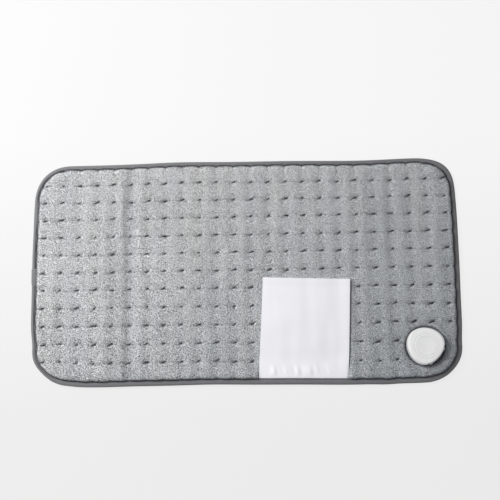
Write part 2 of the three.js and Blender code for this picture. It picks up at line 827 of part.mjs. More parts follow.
function puckShell() {
  const outer = loft([
    [puckOutline(footRound), shellFloor],
    [puckOutline(0), shellFloor + footRound],
    ...roundedEdge(0, shellTop, shellRound).map(([side, z]) => [puckOutline(-side), z]),
  ]);
  const inner = loft([
    [puckOutline(shellWall), shellFloor - overrun],
    [puckOutline(shellWall), roofFloor - shellRound / 2],
    [puckOutline(shellWall + shellRound / 2), roofFloor],
  ]);
  const hollow = cut(
    flatSided(outer, puckFlat, shellTop, shellRound),
    flatSided(inner, puckFlat - shellWall, shellTop),
    post(ringRadius + seat, shellFloor, shellTop + overrun, 0, 0, roundSteps),
  );
  const bosses = screwAngles.map((angle) =>
    post(bossRadius, shellFloor, roofFloor + shellRoof / 2, ...polar(screwCircle, angle), bossSteps),
  );
  const screwTip = screwHeadSink + screwHeadHeight + screwLength;
  const pilots = screwBores(screwRadius + seat, shellFloor - overrun, screwTip + seat);
  const window = block(
    sleeveEnd - overrun, puckFlat + overrun,
    -portOuterWidth / 2 - seat, portOuterWidth / 2 + seat,
    portFloor - portWall - seat, portTop + portWall + seat,
  );
  const notches = latchNotchAngles.map((angle) => {
    const side = puckRadius - puckLobe * Math.cos(3 * angle);
    const middle = polar(side + latchNotchRadius - latchNotchDepth, angle);
    return post(latchNotchRadius, shellFloor - overrun, shellTop + overrun, ...middle, postSteps);
  });
  return cut(join(hollow, ...bosses), ...pilots, window, ...notches);
}

function puckBase() {
  const plate = loft([
    [puckOutline(footRound), 0],
    [puckOutline(0), footRound],
    [puckOutline(0), flangeThickness],
  ]);
  const cup = turned([
    [cupRadius - cupWall, flangeThickness / 2],
    [cupRadius, flangeThickness / 2],
    [cupRadius, cupHeight],
    [cupRadius - cupWall, cupHeight],
  ]);
  const posts = standoffAngles.map((angle) =>
    post(standoffRadius, flangeThickness / 2, boardFloor, ...polar(standoffCircle, angle), postSteps),
  );
  const sunk = screwBores(screwHeadRadius + seat, -overrun, screwHeadSink + screwHeadHeight + seat);
  const through = screwBores(screwRadius + seat, -overrun, flangeThickness + overrun);
  const slotFloor = leadPinchHeight - leadNotch;
  const slots = leadAngles.map((angle) =>
    leadSlot(angle, cupRadius - 2 * cupWall, cupRadius + overrun, slotFloor, cupHeight + overrun),
  );
  const body = join(flatSided(plate, puckFlat, flangeThickness), cup, ...posts);
  return cut(body, ...sunk, ...through, ...slots);
}

function puckScrew(angle) {
  const [x, y] = polar(screwCircle, angle);
  const neck = screwHeadSink + screwHeadHeight;
  const profile = [
    [0, screwHeadSink + screwSocketDepth],
    [screwSocketRadius, screwHeadSink + screwSocketDepth],
    [screwSocketRadius, screwHeadSink],
    [screwHeadRadius, screwHeadSink],
    [screwHeadRadius, neck],
    [screwRadius, neck],
    [screwRadius, neck + screwLength - screwRadius],
    [screwRadius / 2, neck + screwLength],
    [0, neck + screwLength],
  ];
  return turned(profile, postSteps).translate(x, y, 0);
}

// Button and light ring

function buttonCap() {
  const reach = buttonRadius + buttonFlange;
  const bowl = buttonRadius - buttonLip;
  return turned([
    [0, plungerTop],
    [stemRadius, plungerTop],
    [stemRadius, buttonPlateFloor],
    [buttonRadius - buttonWall, buttonPlateFloor],
    [buttonRadius - buttonWall, buttonFloor],
    [reach, buttonFloor],
    [reach, buttonFlangeTop],
    [buttonRadius, buttonFlangeTop],
    [buttonRadius, shellTop - buttonEdge],
    [buttonRadius - buttonEdge, shellTop],
    ...buttonHollowShares.map(([out, down]) => [bowl * out, shellTop - buttonDish * down]),
  ]);
}

function lightRing() {
  const body = turned([
    [ringBore, ringFloor],
    [ringRadius + ringFlange, ringFloor],
    [ringRadius + ringFlange, ringFloor + ringFlangeHeight],
    [ringRadius, ringFloor + ringFlangeHeight],
    [ringRadius, shellTop - ringEdge],
    [ringRadius - ringEdge, shellTop],
    [ringBore + ringEdge, shellTop],
    [ringBore, shellTop - ringEdge],
  ]);
  const legFloor = boardTop + lampHeight + seat;
  const legTop = ringFloor + ringFlangeHeight / 2;
  const legs = lightLegAngles.map((angle) =>
    post(lightLegRadius, legFloor, legTop, ...polar(lightLegCircle, angle), postSteps),
  );
  return join(body, ...legs);
}

function returnSpring() {
  const rise = springTop - springFloor - 2 * springWire;
  const path = Array.from({ length: springTurns * springSteps + 1 }, (_, i) => {
    const share = i / (springTurns * springSteps);
    const [x, y] = polar(springRadius, share * springTurns * 2 * Math.PI);
    return new THREE.Vector3(x, y, springFloor + springWire + rise * share);
  });
  return wireThrough(path, springWire, wireSides);
}

// Socket

function portFrame() {
  const [y, z0, z1] = [portOuterWidth / 2, portFloor - portWall, portTop + portWall];
  const side = portReach;
  const [low, high] = [portFloor - portFlangeEdge, portTop + portFlangeEdge];
  const face = new THREE.Shape();
  face.moveTo(-side + portRound, low);
  face.lineTo(side - portRound, low);
  face.absarc(side - portRound, low + portRound, portRound, -Math.PI / 2, 0, false);
  face.absarc(side - portRound, high - portRound, portRound, 0, Math.PI / 2, false);
  face.absarc(-side + portRound, high - portRound, portRound, Math.PI / 2, Math.PI, false);
  face.absarc(-side + portRound, low + portRound, portRound, Math.PI, 1.5 * Math.PI, false);
  const plate = slab(face, puckFlat, portFace, frameCornerSteps).applyMatrix4(
    new THREE.Matrix4().makeBasis(
      new THREE.Vector3(0, 1, 0),
      new THREE.Vector3(0, 0, 1),
      new THREE.Vector3(1, 0, 0),
    ),
  );
  // In plan the face is flat beside the opening and bends back towards its ends.
  const bend = (portFaceReach + side) / 2;
  const plan = new THREE.Shape();
  plan.moveTo(puckFlat - overrun, -side);
  plan.lineTo(puckFlat + portEndLip, -side);
  plan.quadraticCurveTo(portFace, -bend, portFace, -portFaceReach);
  plan.lineTo(portFace, portFaceReach);
  plan.quadraticCurveTo(portFace, bend, puckFlat + portEndLip, side);
  plan.lineTo(puckFlat - overrun, side);
  const flange = common(plate, slab(plan, low - overrun, high + overrun, frameCornerSteps));
  const sleeve = block(sleeveEnd, puckFlat + portLip / 2, -y, y, z0, z1);
  const opening = block(
    sleeveEnd - overrun, portFace + overrun,
    -portWidth / 2, portWidth / 2,
    portFloor, portTop,
  );
  return cut(join(flange, sleeve), opening);
}

function leadReceptacle() {
  const [y, z0, z1] = [portOuterWidth / 2, portFloor - portWall, portTop + portWall];
  const body = block(receptacleBack, receptacleFront, -y, y, z0, z1);
  const footEnd = receptacleBack + receptacleFoot;
  const foot = block(receptacleBack, footEnd, -y / 2, y / 2, boardTop, z0 + portWall / 2);
  const cavity = block(
    receptacleBack + portBackWall, receptacleFront + overrun,
    -portWidth / 2, portWidth / 2,
    portFloor, portTop,
  );
  return cut(join(body, foot), cavity);
}

function socketContact(y) {
  const from = receptacleBack + portBackWall;
  const middle = (portFloor + portTop) / 2;
  return block(
    from, from + contactReach,
    y - contactThickness / 2, y + contactThickness / 2,
    middle - contactWidth / 2, middle + contactWidth / 2,
  );
}

// Board and its parts

function circuitBoard() {
  const notchStart = terminalCircle + terminalLength / 2;
  const notches = leadAngles.map((angle) =>
    leadSlot(angle, notchStart, boardRadius + overrun, boardFloor - overrun, boardTop + overrun),
  );
  return cut(post(boardRadius, boardFloor, boardTop, 0, 0, roundSteps), ...notches);
}

function switchBody() {
  const half = switchSide / 2;
  const box = block(-half, half, -half, half, boardTop, switchTop);
  return cut(box, post(plungerRadius + running, boardTop + switchFloor, switchTop + overrun));
}

function terminal(angle) {
  const half = terminalWidth / 2;
  const [near, far] = [terminalCircle - terminalLength / 2, terminalCircle + terminalLength / 2];
  const box = block(near, far, -half, half, boardTop, boardTop + terminalHeight);
  const bore = post(terminalBore, -overrun, terminalBoreDepth, 0, 0, leadSides);
  bore.rotateY(-Math.PI / 2).translate(far, 0, leadBoardHeight);
  return cut(box, bore).rotateZ(angle);
}

function lamp(angle) {
  const [x, y] = polar(lightLegCircle, angle);
  const [halfWidth, halfLength] = [lampWidth / 2, lampLength / 2];
  const lampTop = boardTop + lampHeight;
  const box = block(-halfWidth, halfWidth, -halfLength, halfLength, boardTop, lampTop);
  return box.rotateZ(angle).translate(x, y, 0);
}

// Assembly

function piece(name, look, geometry) {
  const clean = geometryOf(solidOf(geometry));
  clean.computeVertexNormals();
  const mesh = new THREE.Mesh(clean, new THREE.MeshStandardMaterial(finish[look]));
  mesh.name = name;
  return mesh;
}

const heatingPad = new THREE.Group();

const sheetInset = bindingWidth + rimRise + seat;

heatingPad.add(
  piece("lower_cover", "backing", lowerCover()),
  piece("wadding", "felt", innerSheet(sheetInset, waddingFloor, waddingThickness)),
  piece("heater_carrier", "felt", innerSheet(sheetInset + foldDepth, carrierFloor, carrierThickness)),
  piece("heating_wire", "silicone", wireThrough(heatingWirePath(), wireRadius, wireSides)),
  piece("return_wire", "silicone", straightWire(fuseFoot - seat, returnFoot, wireRadius)),
  piece("thermal_fuse", "steel", straightWire(fuseTop, fuseFoot, fuseRadius)),
  piece("upper_cover", "plush", upperCover()),
  piece("edge_binding", "binding", edgeBinding()),
  piece("sewn_label", "label", label()),
);
leadAngles.forEach((_, index) => {
  const splice = wireThrough(spliceSpan(index), spliceRadius, wireSides);
  heatingPad.add(
    piece(`splice_sleeve_${index + 1}`, "darkPlastic", splice),
    piece(`heater_lead_${index + 1}`, "darkPlastic", lead(index)),
  );
});

puck.add(
  piece("puck_base", "shell", puckBase()),
  piece("puck_shell", "shell", puckShell()),
  piece("port_frame", "shell", portFrame()),
  piece("lead_receptacle", "darkPlastic", leadReceptacle()),
  piece("circuit_board", "board", circuitBoard()),
  piece("switch_body", "darkPlastic", switchBody()),
  piece("switch_plunger", "darkPlastic", post(plungerRadius, plungerFoot, plungerTop)),
  piece("return_spring", "steel", returnSpring()),
  piece("button_cap", "shell", buttonCap()),
  piece("light_ring", "diffuser", lightRing()),
  piece("controller_chip", "darkPlastic", block(
    chipX - chipSide / 2, chipX + chipSide / 2,
    -chipSide / 2, chipSide / 2,
    boardTop, boardTop + chipHeight,
  )),
  piece("power_transistor", "darkPlastic", block(
    transistorX - transistorLength / 2, transistorX + transistorLength / 2,
    transistorY - transistorWidth / 2, transistorY + transistorWidth / 2,
    boardTop, boardTop + transistorHeight,
  )),
  piece("smoothing_capacitor", "darkPlastic",
    post(capacitorRadius, boardTop, boardTop + capacitorHeight, capacitorX, capacitorY)),
);
screwAngles.forEach((angle, i) => puck.add(piece(`puck_screw_${i + 1}`, "steel", puckScrew(angle))));
leadAngles.forEach((angle, i) => puck.add(piece(`terminal_${i + 1}`, "darkPlastic", terminal(angle))));
lightLegAngles.forEach((angle, i) => puck.add(piece(`indicator_lamp_${i + 1}`, "diffuser", lamp(angle))));
[-contactPitch, 0, contactPitch].forEach((y, i) =>
  puck.add(piece(`socket_contact_${i + 1}`, "brass", socketContact(y))),
);
heatingPad.add(puck);

export default heatingPad;
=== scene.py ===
import json
import math

import bmesh
import bpy
import numpy as np
from mathutils import Matrix, Vector


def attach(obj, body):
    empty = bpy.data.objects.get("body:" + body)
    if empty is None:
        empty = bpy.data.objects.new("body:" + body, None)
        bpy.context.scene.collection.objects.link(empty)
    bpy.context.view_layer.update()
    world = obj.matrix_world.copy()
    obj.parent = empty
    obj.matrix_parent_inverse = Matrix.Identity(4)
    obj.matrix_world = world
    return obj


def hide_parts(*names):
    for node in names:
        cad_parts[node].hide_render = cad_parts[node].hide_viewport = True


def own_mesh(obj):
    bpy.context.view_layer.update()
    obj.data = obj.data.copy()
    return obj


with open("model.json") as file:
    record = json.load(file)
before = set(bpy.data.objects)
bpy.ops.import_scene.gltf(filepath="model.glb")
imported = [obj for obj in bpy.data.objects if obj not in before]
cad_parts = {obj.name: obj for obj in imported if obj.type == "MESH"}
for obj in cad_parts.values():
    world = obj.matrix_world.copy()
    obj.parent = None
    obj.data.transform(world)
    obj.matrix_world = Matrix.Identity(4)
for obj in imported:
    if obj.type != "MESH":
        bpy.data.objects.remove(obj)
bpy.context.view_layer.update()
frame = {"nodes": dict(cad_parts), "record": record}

# A soft heating pad with a tufted plush top, a tape binding, a sewn-in label and a control puck.
# Lengths are in millimetres, and become metres where a mesh is made. The pad lies in the plane of
# X and Y, with its length along X and the puck in the corner at +X, -Y.

MM = 0.001


def packed_points(node):
    """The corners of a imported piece, in millimetres."""
    return np.array([v.co[:] for v in frame["nodes"][node].data.vertices]) / MM


def packed_box(node):
    points = packed_points(node)
    return points.min(0), points.max(0)


# Sizes of the pad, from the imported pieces
HALF_LENGTH, HALF_WIDTH, BINDING_TOP = packed_box("edge_binding")[1]
CROWN = packed_box("upper_cover")[1][2]
CORNER = 52
BINDING_WIDTH = 9
INNER_FLOOR = 6.2  # underside of the plush over the heating wire
FOLD_REACH = 2.4  # from the pad's edge to the covers' edge, inside the binding's fold

# Grid of tufts
COLUMNS, ROWS = 24, 11
COLUMN_PITCH, ROW_PITCH = 25, 25.7
FIRST_COLUMN = -(COLUMNS - 1) / 2 * COLUMN_PITCH
FIRST_ROW = -(ROWS - 1) / 2 * ROW_PITCH

# Puck, in a frame of its own: u runs out through the socket and v along the flat side
button_low, button_high = packed_box("button_cap")
PUCK_X, PUCK_Y = (button_low + button_high)[:2] / 2
PUCK_TOP = button_high[2]
FACING = next(m["axis"] for m in frame["record"]["mounts"] if m["name"] == "lead_socket_face")[:2]


def puck_frame(x, y):
    dx, dy = x - PUCK_X, y - PUCK_Y
    return dx * FACING[0] + dy * FACING[1], dy * FACING[0] - dx * FACING[1]


def from_puck(u, v):
    return PUCK_X + u * FACING[0] - v * FACING[1], PUCK_Y + u * FACING[1] + v * FACING[0]


shell_points = packed_points("puck_shell")
shell_u, shell_v = puck_frame(shell_points[:, 0], shell_points[:, 1])
PUCK_LOBE = 0.75  # how far its three soft sides are drawn in, and the corners between them out
PUCK_RADIUS = np.hypot(shell_u, shell_v).max() - PUCK_LOBE
PUCK_FLAT = shell_u.max()
PUCK_FLOOR = shell_points[:, 2].min()

# Colours, as plain linear values
PLUSH_COOL = (0.668, 0.687, 0.704)
PLUSH_WARM = (0.710, 0.710, 0.714)
PLUSH_SHADED = (0.790, 0.825, 0.862)  # how much painted shade darkens the plush, and makes it bluer, towards the puck's corner
PAINTED_SHADE_TINT = (0.11, 0.12, 0.14)  # what painted shade leaves of its colour, in a pit and at the plush's other dark places
BINDING_GREY = (0.158, 0.158, 0.166)
TAPE_SHADE_GREY = (0.020, 0.020, 0.022)  # the tape's painted shade, where the plush would shade it
THREAD_GREY = (0.014, 0.015, 0.018)
LABEL_WHITE = (0.762, 0.754, 0.792)
LABEL_SEAM_PAINTED_WHITE = (0.900, 0.892, 0.930)  # its end by the seam, painted paler as painted light, since it slopes away from the light
SHELL_WHITE = (0.825, 0.825, 0.83)
RING_WHITE = (0.86, 0.86, 0.855)


# Camera

CAMERA_PLACE = Vector((52.4, -137.8, 985.7)) * MM
CAMERA_AIM = Vector((10.6, 28.8, 7.0)) * MM
CAMERA_UP = Vector((0.020, 0.986, 0.167))
CAMERA_LENS = 49.97
CAMERA_SENSOR = 36
CAMERA_NEAREST = 10


def new_object(name, data):
    """An object in the scene that shows some data."""
    made = bpy.data.objects.new(name, data)
    bpy.context.scene.collection.objects.link(made)
    return made


def camera():
    data = bpy.data.cameras.new("view")
    data.lens, data.sensor_width = CAMERA_LENS, CAMERA_SENSOR
    data.clip_start = CAMERA_NEAREST * MM
    view = new_object("view", data)
    ahead = (CAMERA_AIM - CAMERA_PLACE).normalized()
    right = ahead.cross(CAMERA_UP).normalized()
    turn = Matrix((right, right.cross(ahead), -ahead)).transposed()
    view.matrix_world = Matrix.Translation(CAMERA_PLACE) @ turn.to_4x4()
    bpy.context.scene.camera = view


camera()


# Curves of place

def ease(t):
    t = np.clip(t, 0, 1)
    return t * t * (3 - 2 * t)


def roll(t):
    """The profile of a soft rolled edge, from its foot at 0 to its crown at 1."""
    return np.sqrt(1 - (1 - np.clip(t, 0, 1)) ** 2)


def fade(share, t):
    """From a share of the whole, where t is 0, to all of it at 1."""
    return share + (1 - share) * ease(t)


def bell(t):
    return np.exp(-t ** 2)


def spot(along, beside, long, broad):
    """How strongly a mark acts at a distance from its middle, from its half length and breadth."""
    return np.exp(-(along / long) ** 2 - (beside / broad) ** 2)


NOISE_SIDE = 97


def soft_noise(x, y, cell_x, cell_y, seed):
    """Smooth hills and hollows between -1 and 1, about one to each cell."""
    table = np.random.default_rng(seed).uniform(-1, 1, (NOISE_SIDE, NOISE_SIDE))
    u, v = x / cell_x, y / cell_y
    i, j = np.floor(u).astype(int), np.floor(v).astype(int)
    s, t = ease(u - i), ease(v - j)

    def at(a, b):
        return table[(i + a) % NOISE_SIDE, (j + b) % NOISE_SIDE]

    low = at(0, 0) * (1 - s) + at(1, 0) * s
    high = at(0, 1) * (1 - s) + at(1, 1) * s
    return low * (1 - t) + high * t


# Each table with CELLS in its name has a cell's length along X, its length along Y and a seed. Each one
# with SWELL in its name has a height before them.

def swell(x, y, table):
    height, *cells = table
    return height * soft_noise(x, y, *cells)


def outward(x, y, inset=0.0):
    """Which way is out towards the pad's edge, and how far inside the outline at an inset."""
    cx = np.clip(x, CORNER - HALF_LENGTH, HALF_LENGTH - CORNER)
    cy = np.clip(y, CORNER - HALF_WIDTH, HALF_WIDTH - CORNER)
    far = np.hypot(x - cx, y - cy)
    safe = np.maximum(far, MM)
    return (x - cx) / safe, (y - cy) / safe, CORNER - inset - far


# The pad doesn't lie quite square. Its corners are pushed out or drawn in by these amounts, and its
# sides wander: for each place along a side, its spread and how far the side is shifted there.
CORNER_PUSH = {(-1, 1): 1.6, (1, 1): 4.6, (-1, -1): -5.0, (1, -1): -2.0}
FAR_SIDE = ((-90, 60, 1.8), (170, 75, -2.4), (276, 20, -1.5))
NEAR_SIDE = ((-45, 50, 1.1), (150, 60, -1.3), (-205, 40, -0.9), (-262, 20, 2.7), (196, 15, -0.8),
             (265, 16, 1.0))
LEFT_END = ((30, 60, -1.6), (95, 30, -0.9), (-108, 22, 3.4))
RIGHT_END = ((75, 60, 2.0), (0, 45, 1.0), (-108, 20, -1.8))
SIDE_DEPTH = 110  # how far in from a side its shift is felt


def shifts(along, table):
    return sum(shift * bell((along - place) / spread) for place, spread, shift in table)


def lie(x, y):
    """Where a point of the flat pattern comes to lie."""
    new_x, new_y = x.copy(), y.copy()
    for (sx, sy), push in CORNER_PUSH.items():
        dx = np.maximum(sx * x - (HALF_LENGTH - CORNER), 0)
        dy = np.maximum(sy * y - (HALF_WIDTH - CORNER), 0)
        far = np.hypot(dx, dy) + MM
        swing = push * (2 * dx * dy / far ** 2) ** 2 * (far / CORNER) ** 3 / far
        new_x += sx * swing * dx
        new_y += sy * swing * dy
    new_y += shifts(x, FAR_SIDE) * ease((y - HALF_WIDTH + SIDE_DEPTH) / SIDE_DEPTH)
    new_y += shifts(x, NEAR_SIDE) * ease((SIDE_DEPTH - HALF_WIDTH - y) / SIDE_DEPTH)
    new_x += shifts(y, LEFT_END) * ease((SIDE_DEPTH - HALF_LENGTH - x) / SIDE_DEPTH)
    new_x += shifts(y, RIGHT_END) * ease((x - HALF_LENGTH + SIDE_DEPTH) / SIDE_DEPTH)
    return new_x, new_y


def lay(points):
    """Lays points of the flat pattern down."""
    points[..., 0], points[..., 1] = lie(points[..., 0], points[..., 1])
    return points


# Low ground round the puck: a circle and a smaller one before the socket, with the tangents
DISH_MARGIN = 2
DISH_RADIUS = PUCK_RADIUS + PUCK_LOBE + DISH_MARGIN
DISH_TIP = DISH_RADIUS / 2
DISH_REACH, DISH_FLOOR, DISH_UNDERSIDE = 18, 5.9, 3.9
DISH_SLOPE = 5.7  # how far beyond it the inner sides of the covers part again
HOLE_RADIUS = 19.6
HALVINGS = 40


def dish_distance(x, y):
    """How far a place lies outside the low ground round the puck."""
    u, v = puck_frame(x, y)
    v = np.abs(v)
    slant = (DISH_RADIUS - DISH_TIP) / DISH_REACH
    level = math.sqrt(1 - slant * slant)
    along = level * u - slant * v
    beside = level * v + slant * u
    body = np.hypot(u, v) - DISH_RADIUS
    tip = np.hypot(u - DISH_REACH, v) - DISH_TIP
    return np.where(along < 0, body, np.where(along > level * DISH_REACH, tip, beside - DISH_RADIUS))


def dish_ring(angle, margin):
    """The radius, in each direction from the puck's axis, at which the low ground ends."""
    near, far = np.full_like(angle, HOLE_RADIUS), np.full_like(angle, 2 * DISH_RADIUS)
    for _ in range(HALVINGS):
        middle = (near + far) / 2
        inside = dish_distance(*from_puck(middle * np.cos(angle), middle * np.sin(angle))) < margin
        near, far = np.where(inside, middle, near), np.where(inside, far, middle)
    return near


# Label, as it lies: its corners, from the seam in the binding
LABEL_NEAR = ((20.6, -151.9), (144.6, -151.9))
LABEL_FAR = ((28.7, -11.5), (151.0, -16.2))
LABEL_SPAN = LABEL_NEAR[1][0] - LABEL_NEAR[0][0]
LABEL_THICKNESS = 0.35
LABEL_SEAM_HEIGHT = packed_box("sewn_label")[0][2]
LABEL_LIFT = 0.35
LABEL_REST = CROWN + LABEL_LIFT
LABEL_RISE = 12  # the run over which it comes up from its seam


def label_place(across, along):
    """A place on the label's plan, from its shares across and along the cloth."""
    left, right = (np.array(near)[:, None] * (1 - along) + np.array(far)[:, None] * along
                   for near, far in zip(LABEL_NEAR, LABEL_FAR))
    return left * (1 - across) + right * across


def label_shares(x, y):
    """The shares across and along the label of a place on the pad."""
    (near_left, near_y), (near_right, _) = LABEL_NEAR
    (far_left, far_y), (far_right, far_right_y) = LABEL_FAR
    along = (y - near_y) / ((far_y + far_right_y) / 2 - near_y)
    left = near_left + (far_left - near_left) * along
    right = near_right + (far_right - near_right) * along
    across = (x - left) / (right - left)
    top = far_y + (far_right_y - far_y) * across
    return across, (y - near_y) / (top - near_y)


def label_floor(run):
    """The height of the label's underside, at a distance from its seam."""
    return LABEL_REST - (LABEL_REST - LABEL_SEAM_HEIGHT) * np.exp(-np.maximum(run, 0) / LABEL_RISE)


# Tufts

TUFT_SEED = 31
rng = np.random.default_rng(TUFT_SEED)
GRID = (COLUMNS, ROWS)
# The middle and the spread of what is drawn for each tuft, and its least and most where it is held
TUFT_STRAY = (0, 0.5)
TUFT_SLANT = (21, 7)
TUFT_PULL_SHARES = (0.95, 0.2, 0.5, 1.3)
TUFT_LONG_SHARES = (1, 0.17, 0.65, 1.4)


def drawn(middle, spread, least=-math.inf, most=math.inf):
    return np.clip(rng.normal(middle, spread, GRID), least, most)


tuft_column, tuft_row = np.meshgrid(np.arange(COLUMNS), np.arange(ROWS), indexing="ij")
tuft_x = FIRST_COLUMN + COLUMN_PITCH * tuft_column + drawn(*TUFT_STRAY)
tuft_y = FIRST_ROW + ROW_PITCH * tuft_row + drawn(*TUFT_STRAY)
tuft_turn = np.radians(drawn(*TUFT_SLANT))
tuft_pull = drawn(*TUFT_PULL_SHARES)
tuft_long = drawn(*TUFT_LONG_SHARES)
# No tuft is sewn where the puck sits, or between it and the corner
NO_TUFT_X, NO_TUFT_Y = 225, -95
tuft_pull[(tuft_x > NO_TUFT_X) & (tuft_y < NO_TUFT_Y)] = 0

PIT_DEPTH = 2.6
PIT_LONG, PIT_BROAD = 3.8, 1.5
BARE_LONG, BARE_BROAD = 3.1, 0.85  # where the pile is parted round a pit
BARE_TAPER_SHARE, BARE_TAPER_RUN = 0.35, 2
BARE_SHIFT = 0.35  # the nap lies away from the upper side of a pit, which shows more of it
# A painted highlight on a pit's lower side, which faces the light: its half length and breadth, and how far
# ahead of and below the pit's middle
LIT_LONG, LIT_BROAD, LIT_AHEAD, LIT_SHIFT = 3.2, 0.9, 1, 1.9
CLEAR_LONG, CLEAR_BROAD, CLEAR_SHIFT = 3.6, 1.5, 0.9  # no pile leans over a pit from its upper side
DIMPLE_DEPTH, DIMPLE_LONG, DIMPLE_BROAD = 0.6, 8.5, 6.0
ROW_GROOVE, ROW_GROOVE_BROAD = 0.5, 1.5
ROW_TAIL, ROW_TAIL_SHARE = 8.5, 0.35  # how far a row's stitching shows beside a tuft, and its least
ROW_FADE_RUN, ROW_FADE_SHARE = 200, 0.35  # it fades towards the puck's end
ROW_UNEVEN_SHARES, ROW_CELLS, ROW_LEAST_SHARE = (0.65, 0.7), (38, ROW_PITCH, 14), 0.1
COLUMN_GROOVE, COLUMN_GROOVE_BROAD = 0.6, 7.0
COLUMN_UNEVEN_SHARES, COLUMN_CELLS = (0.6, 0.6), (60, 45, 13)
PLUSH_SWELLS = ((0.22, 16, 26, 7), (0.14, 5, 6, 8))
RELIEF_SPARE = 0.3
RELIEF = CROWN - INNER_FLOOR - RELIEF_SPARE  # the deepest that the pile's ground may dip
LEAST_HEIGHT = 4.5
LABEL_CLEARANCE = 0.45
SEAM_CLEARANCE, SEAM_CLEAR_RUN = 0.9, 3.0
# The pile is pressed down this far beyond the label's sides and its end, and so steeply
PRESS_BESIDE_SHARE, PRESS_BEYOND_SHARE, PRESS_STEEP = 0.020, 0.012, 60
DISH_LAP, DISH_RISE = 1.6, 6.5
DISH_SWELL, DISH_SWELL_INSET = (0.25, 5, 5, 9), 12
PUCK_CLEARANCE = 0.5

# Soft folds that run across the pad: place along it, depth (a ridge's is below 0) and breadth
FOLDS = (
    (-186, 0.4, 6.0), (-164, 2.6, 6.5), (-146, -0.5, 5.0), (-119, -0.5, 11.0), (-70, 0.45, 6.0),
    (-43, 0.35, 7.0), (-18, 0.35, 6.0), (9, 0.3, 5.0), (58, 0.3, 6.0), (158, 0.45, 6.0),
    (179, 0.5, 5.0), (208, 0.6, 5.0), (240, 0.25, 5.0), (264, -0.5, 12.0),
)
FOLD_SWELL = (3.5, 280, 70, 5)
FOLD_CELLS = (560, 70, 6)
FOLD_VARY_SHARE = 0.25
FOLD_SHUFFLE = 9  # which keeps any two folds from varying alike

# Edge of the plush: it puffs out over the binding between two tufts, and is notched beside them
PLUSH_INSET, PLUSH_LIP, EDGE_PUFF = 8.0, 6.0, 7.0
SCALLOP_TOP, SCALLOP_BOTTOM, SCALLOP_SIDE = 1.7, 1.0, 0.9
SCALLOP_POWER, SCALLOP_MEAN_SHARE = 0.7, 0.6
EDGE_POWER = 4  # how sharply the sides give way to the ends round a corner
EDGE_SWELL, EDGE_RUN = (0.3, 7, 7, 12), 10
NOTCH_DEPTH, NOTCH_BROAD, NOTCH_RUN = 0.9, 2.0, 6.0
NOTCH_LESS_SHARE = 0.5  # of that depth, along the near side and the ends


def nearest_tuft(x, y):
    column = np.clip(np.round((x - FIRST_COLUMN) / COLUMN_PITCH), 0, COLUMNS - 1).astype(int)
    row = np.clip(np.round((y - FIRST_ROW) / ROW_PITCH), 0, ROWS - 1).astype(int)
    return column, row


def from_line(place, first, pitch):
    """How far a place lies from the nearest of a row of even lines."""
    return (place - first + pitch / 2) % pitch - pitch / 2


def tuft_marks(x, y):
    """How strongly the nearest tuft acts at a place: its pit, parting, dimple and the painted highlight on
    its lower side.
    """
    at = nearest_tuft(x, y)
    dx, dy = x - tuft_x[at], y - tuft_y[at]
    turn = tuft_turn[at]
    along = dx * np.cos(turn) + dy * np.sin(turn)
    beside = dy * np.cos(turn) - dx * np.sin(turn)
    pit = spot(along, beside, PIT_LONG * tuft_long[at], PIT_BROAD)
    broad = BARE_BROAD * (1 + BARE_TAPER_SHARE * np.tanh(along / BARE_TAPER_RUN))
    bare = spot(along, beside - BARE_SHIFT, BARE_LONG * tuft_long[at], broad)
    dimple = spot(dx, dy, DIMPLE_LONG, DIMPLE_BROAD)
    lit = spot(along - LIT_AHEAD, beside + LIT_SHIFT, LIT_LONG, LIT_BROAD)
    clear = spot(along, beside - CLEAR_SHIFT, CLEAR_LONG, CLEAR_BROAD)
    return [mark * tuft_pull[at] for mark in (pit, bare, dimple, lit, clear)]


def line_marks(x, y):
    """How strongly the lines of stitching along the rows, and the dips along the columns, act."""
    from_row, from_column = from_line(y, FIRST_ROW, ROW_PITCH), from_line(x, FIRST_COLUMN, COLUMN_PITCH)
    level, swing = COLUMN_UNEVEN_SHARES
    uneven = np.clip(level + swing * soft_noise(x, y, *COLUMN_CELLS), 0, 1)
    along_row = bell(from_row / ROW_GROOVE_BROAD) * (1 - ROW_FADE_SHARE * ease(x / ROW_FADE_RUN + 0.5))
    along_row = along_row * (ROW_TAIL_SHARE + (1 - ROW_TAIL_SHARE) * bell(from_column / ROW_TAIL))
    level, swing = ROW_UNEVEN_SHARES
    along_row = along_row * np.clip(level + swing * soft_noise(x, y, *ROW_CELLS), ROW_LEAST_SHARE, 1)
    return along_row, bell(from_column / COLUMN_GROOVE_BROAD) * uneven


def folds(x, y):
    """How deep the soft folds across the pad are at a place."""
    deep = 0 * x
    wander = swell(x, y, FOLD_SWELL)
    for place, depth, broad in FOLDS:
        vary = 1 - FOLD_VARY_SHARE + swell(x, y + FOLD_SHUFFLE * place, (FOLD_VARY_SHARE, *FOLD_CELLS))
        deep = deep + depth * vary * bell((x + wander - place) / broad)
    return deep


def edge_phase(x, y):
    """Bulges between tufts along an edge: 0 beside a tuft and 1 halfway to the next."""
    nx, ny, _ = outward(x, y)
    beside_columns = np.abs(np.sin(math.pi * (x - FIRST_COLUMN) / COLUMN_PITCH))
    beside_rows = np.abs(np.sin(math.pi * (y - FIRST_ROW) / ROW_PITCH))
    ends, sides = nx ** EDGE_POWER, ny ** EDGE_POWER
    return ends, sides * (ny > 0), sides * (ny < 0), beside_rows, beside_columns


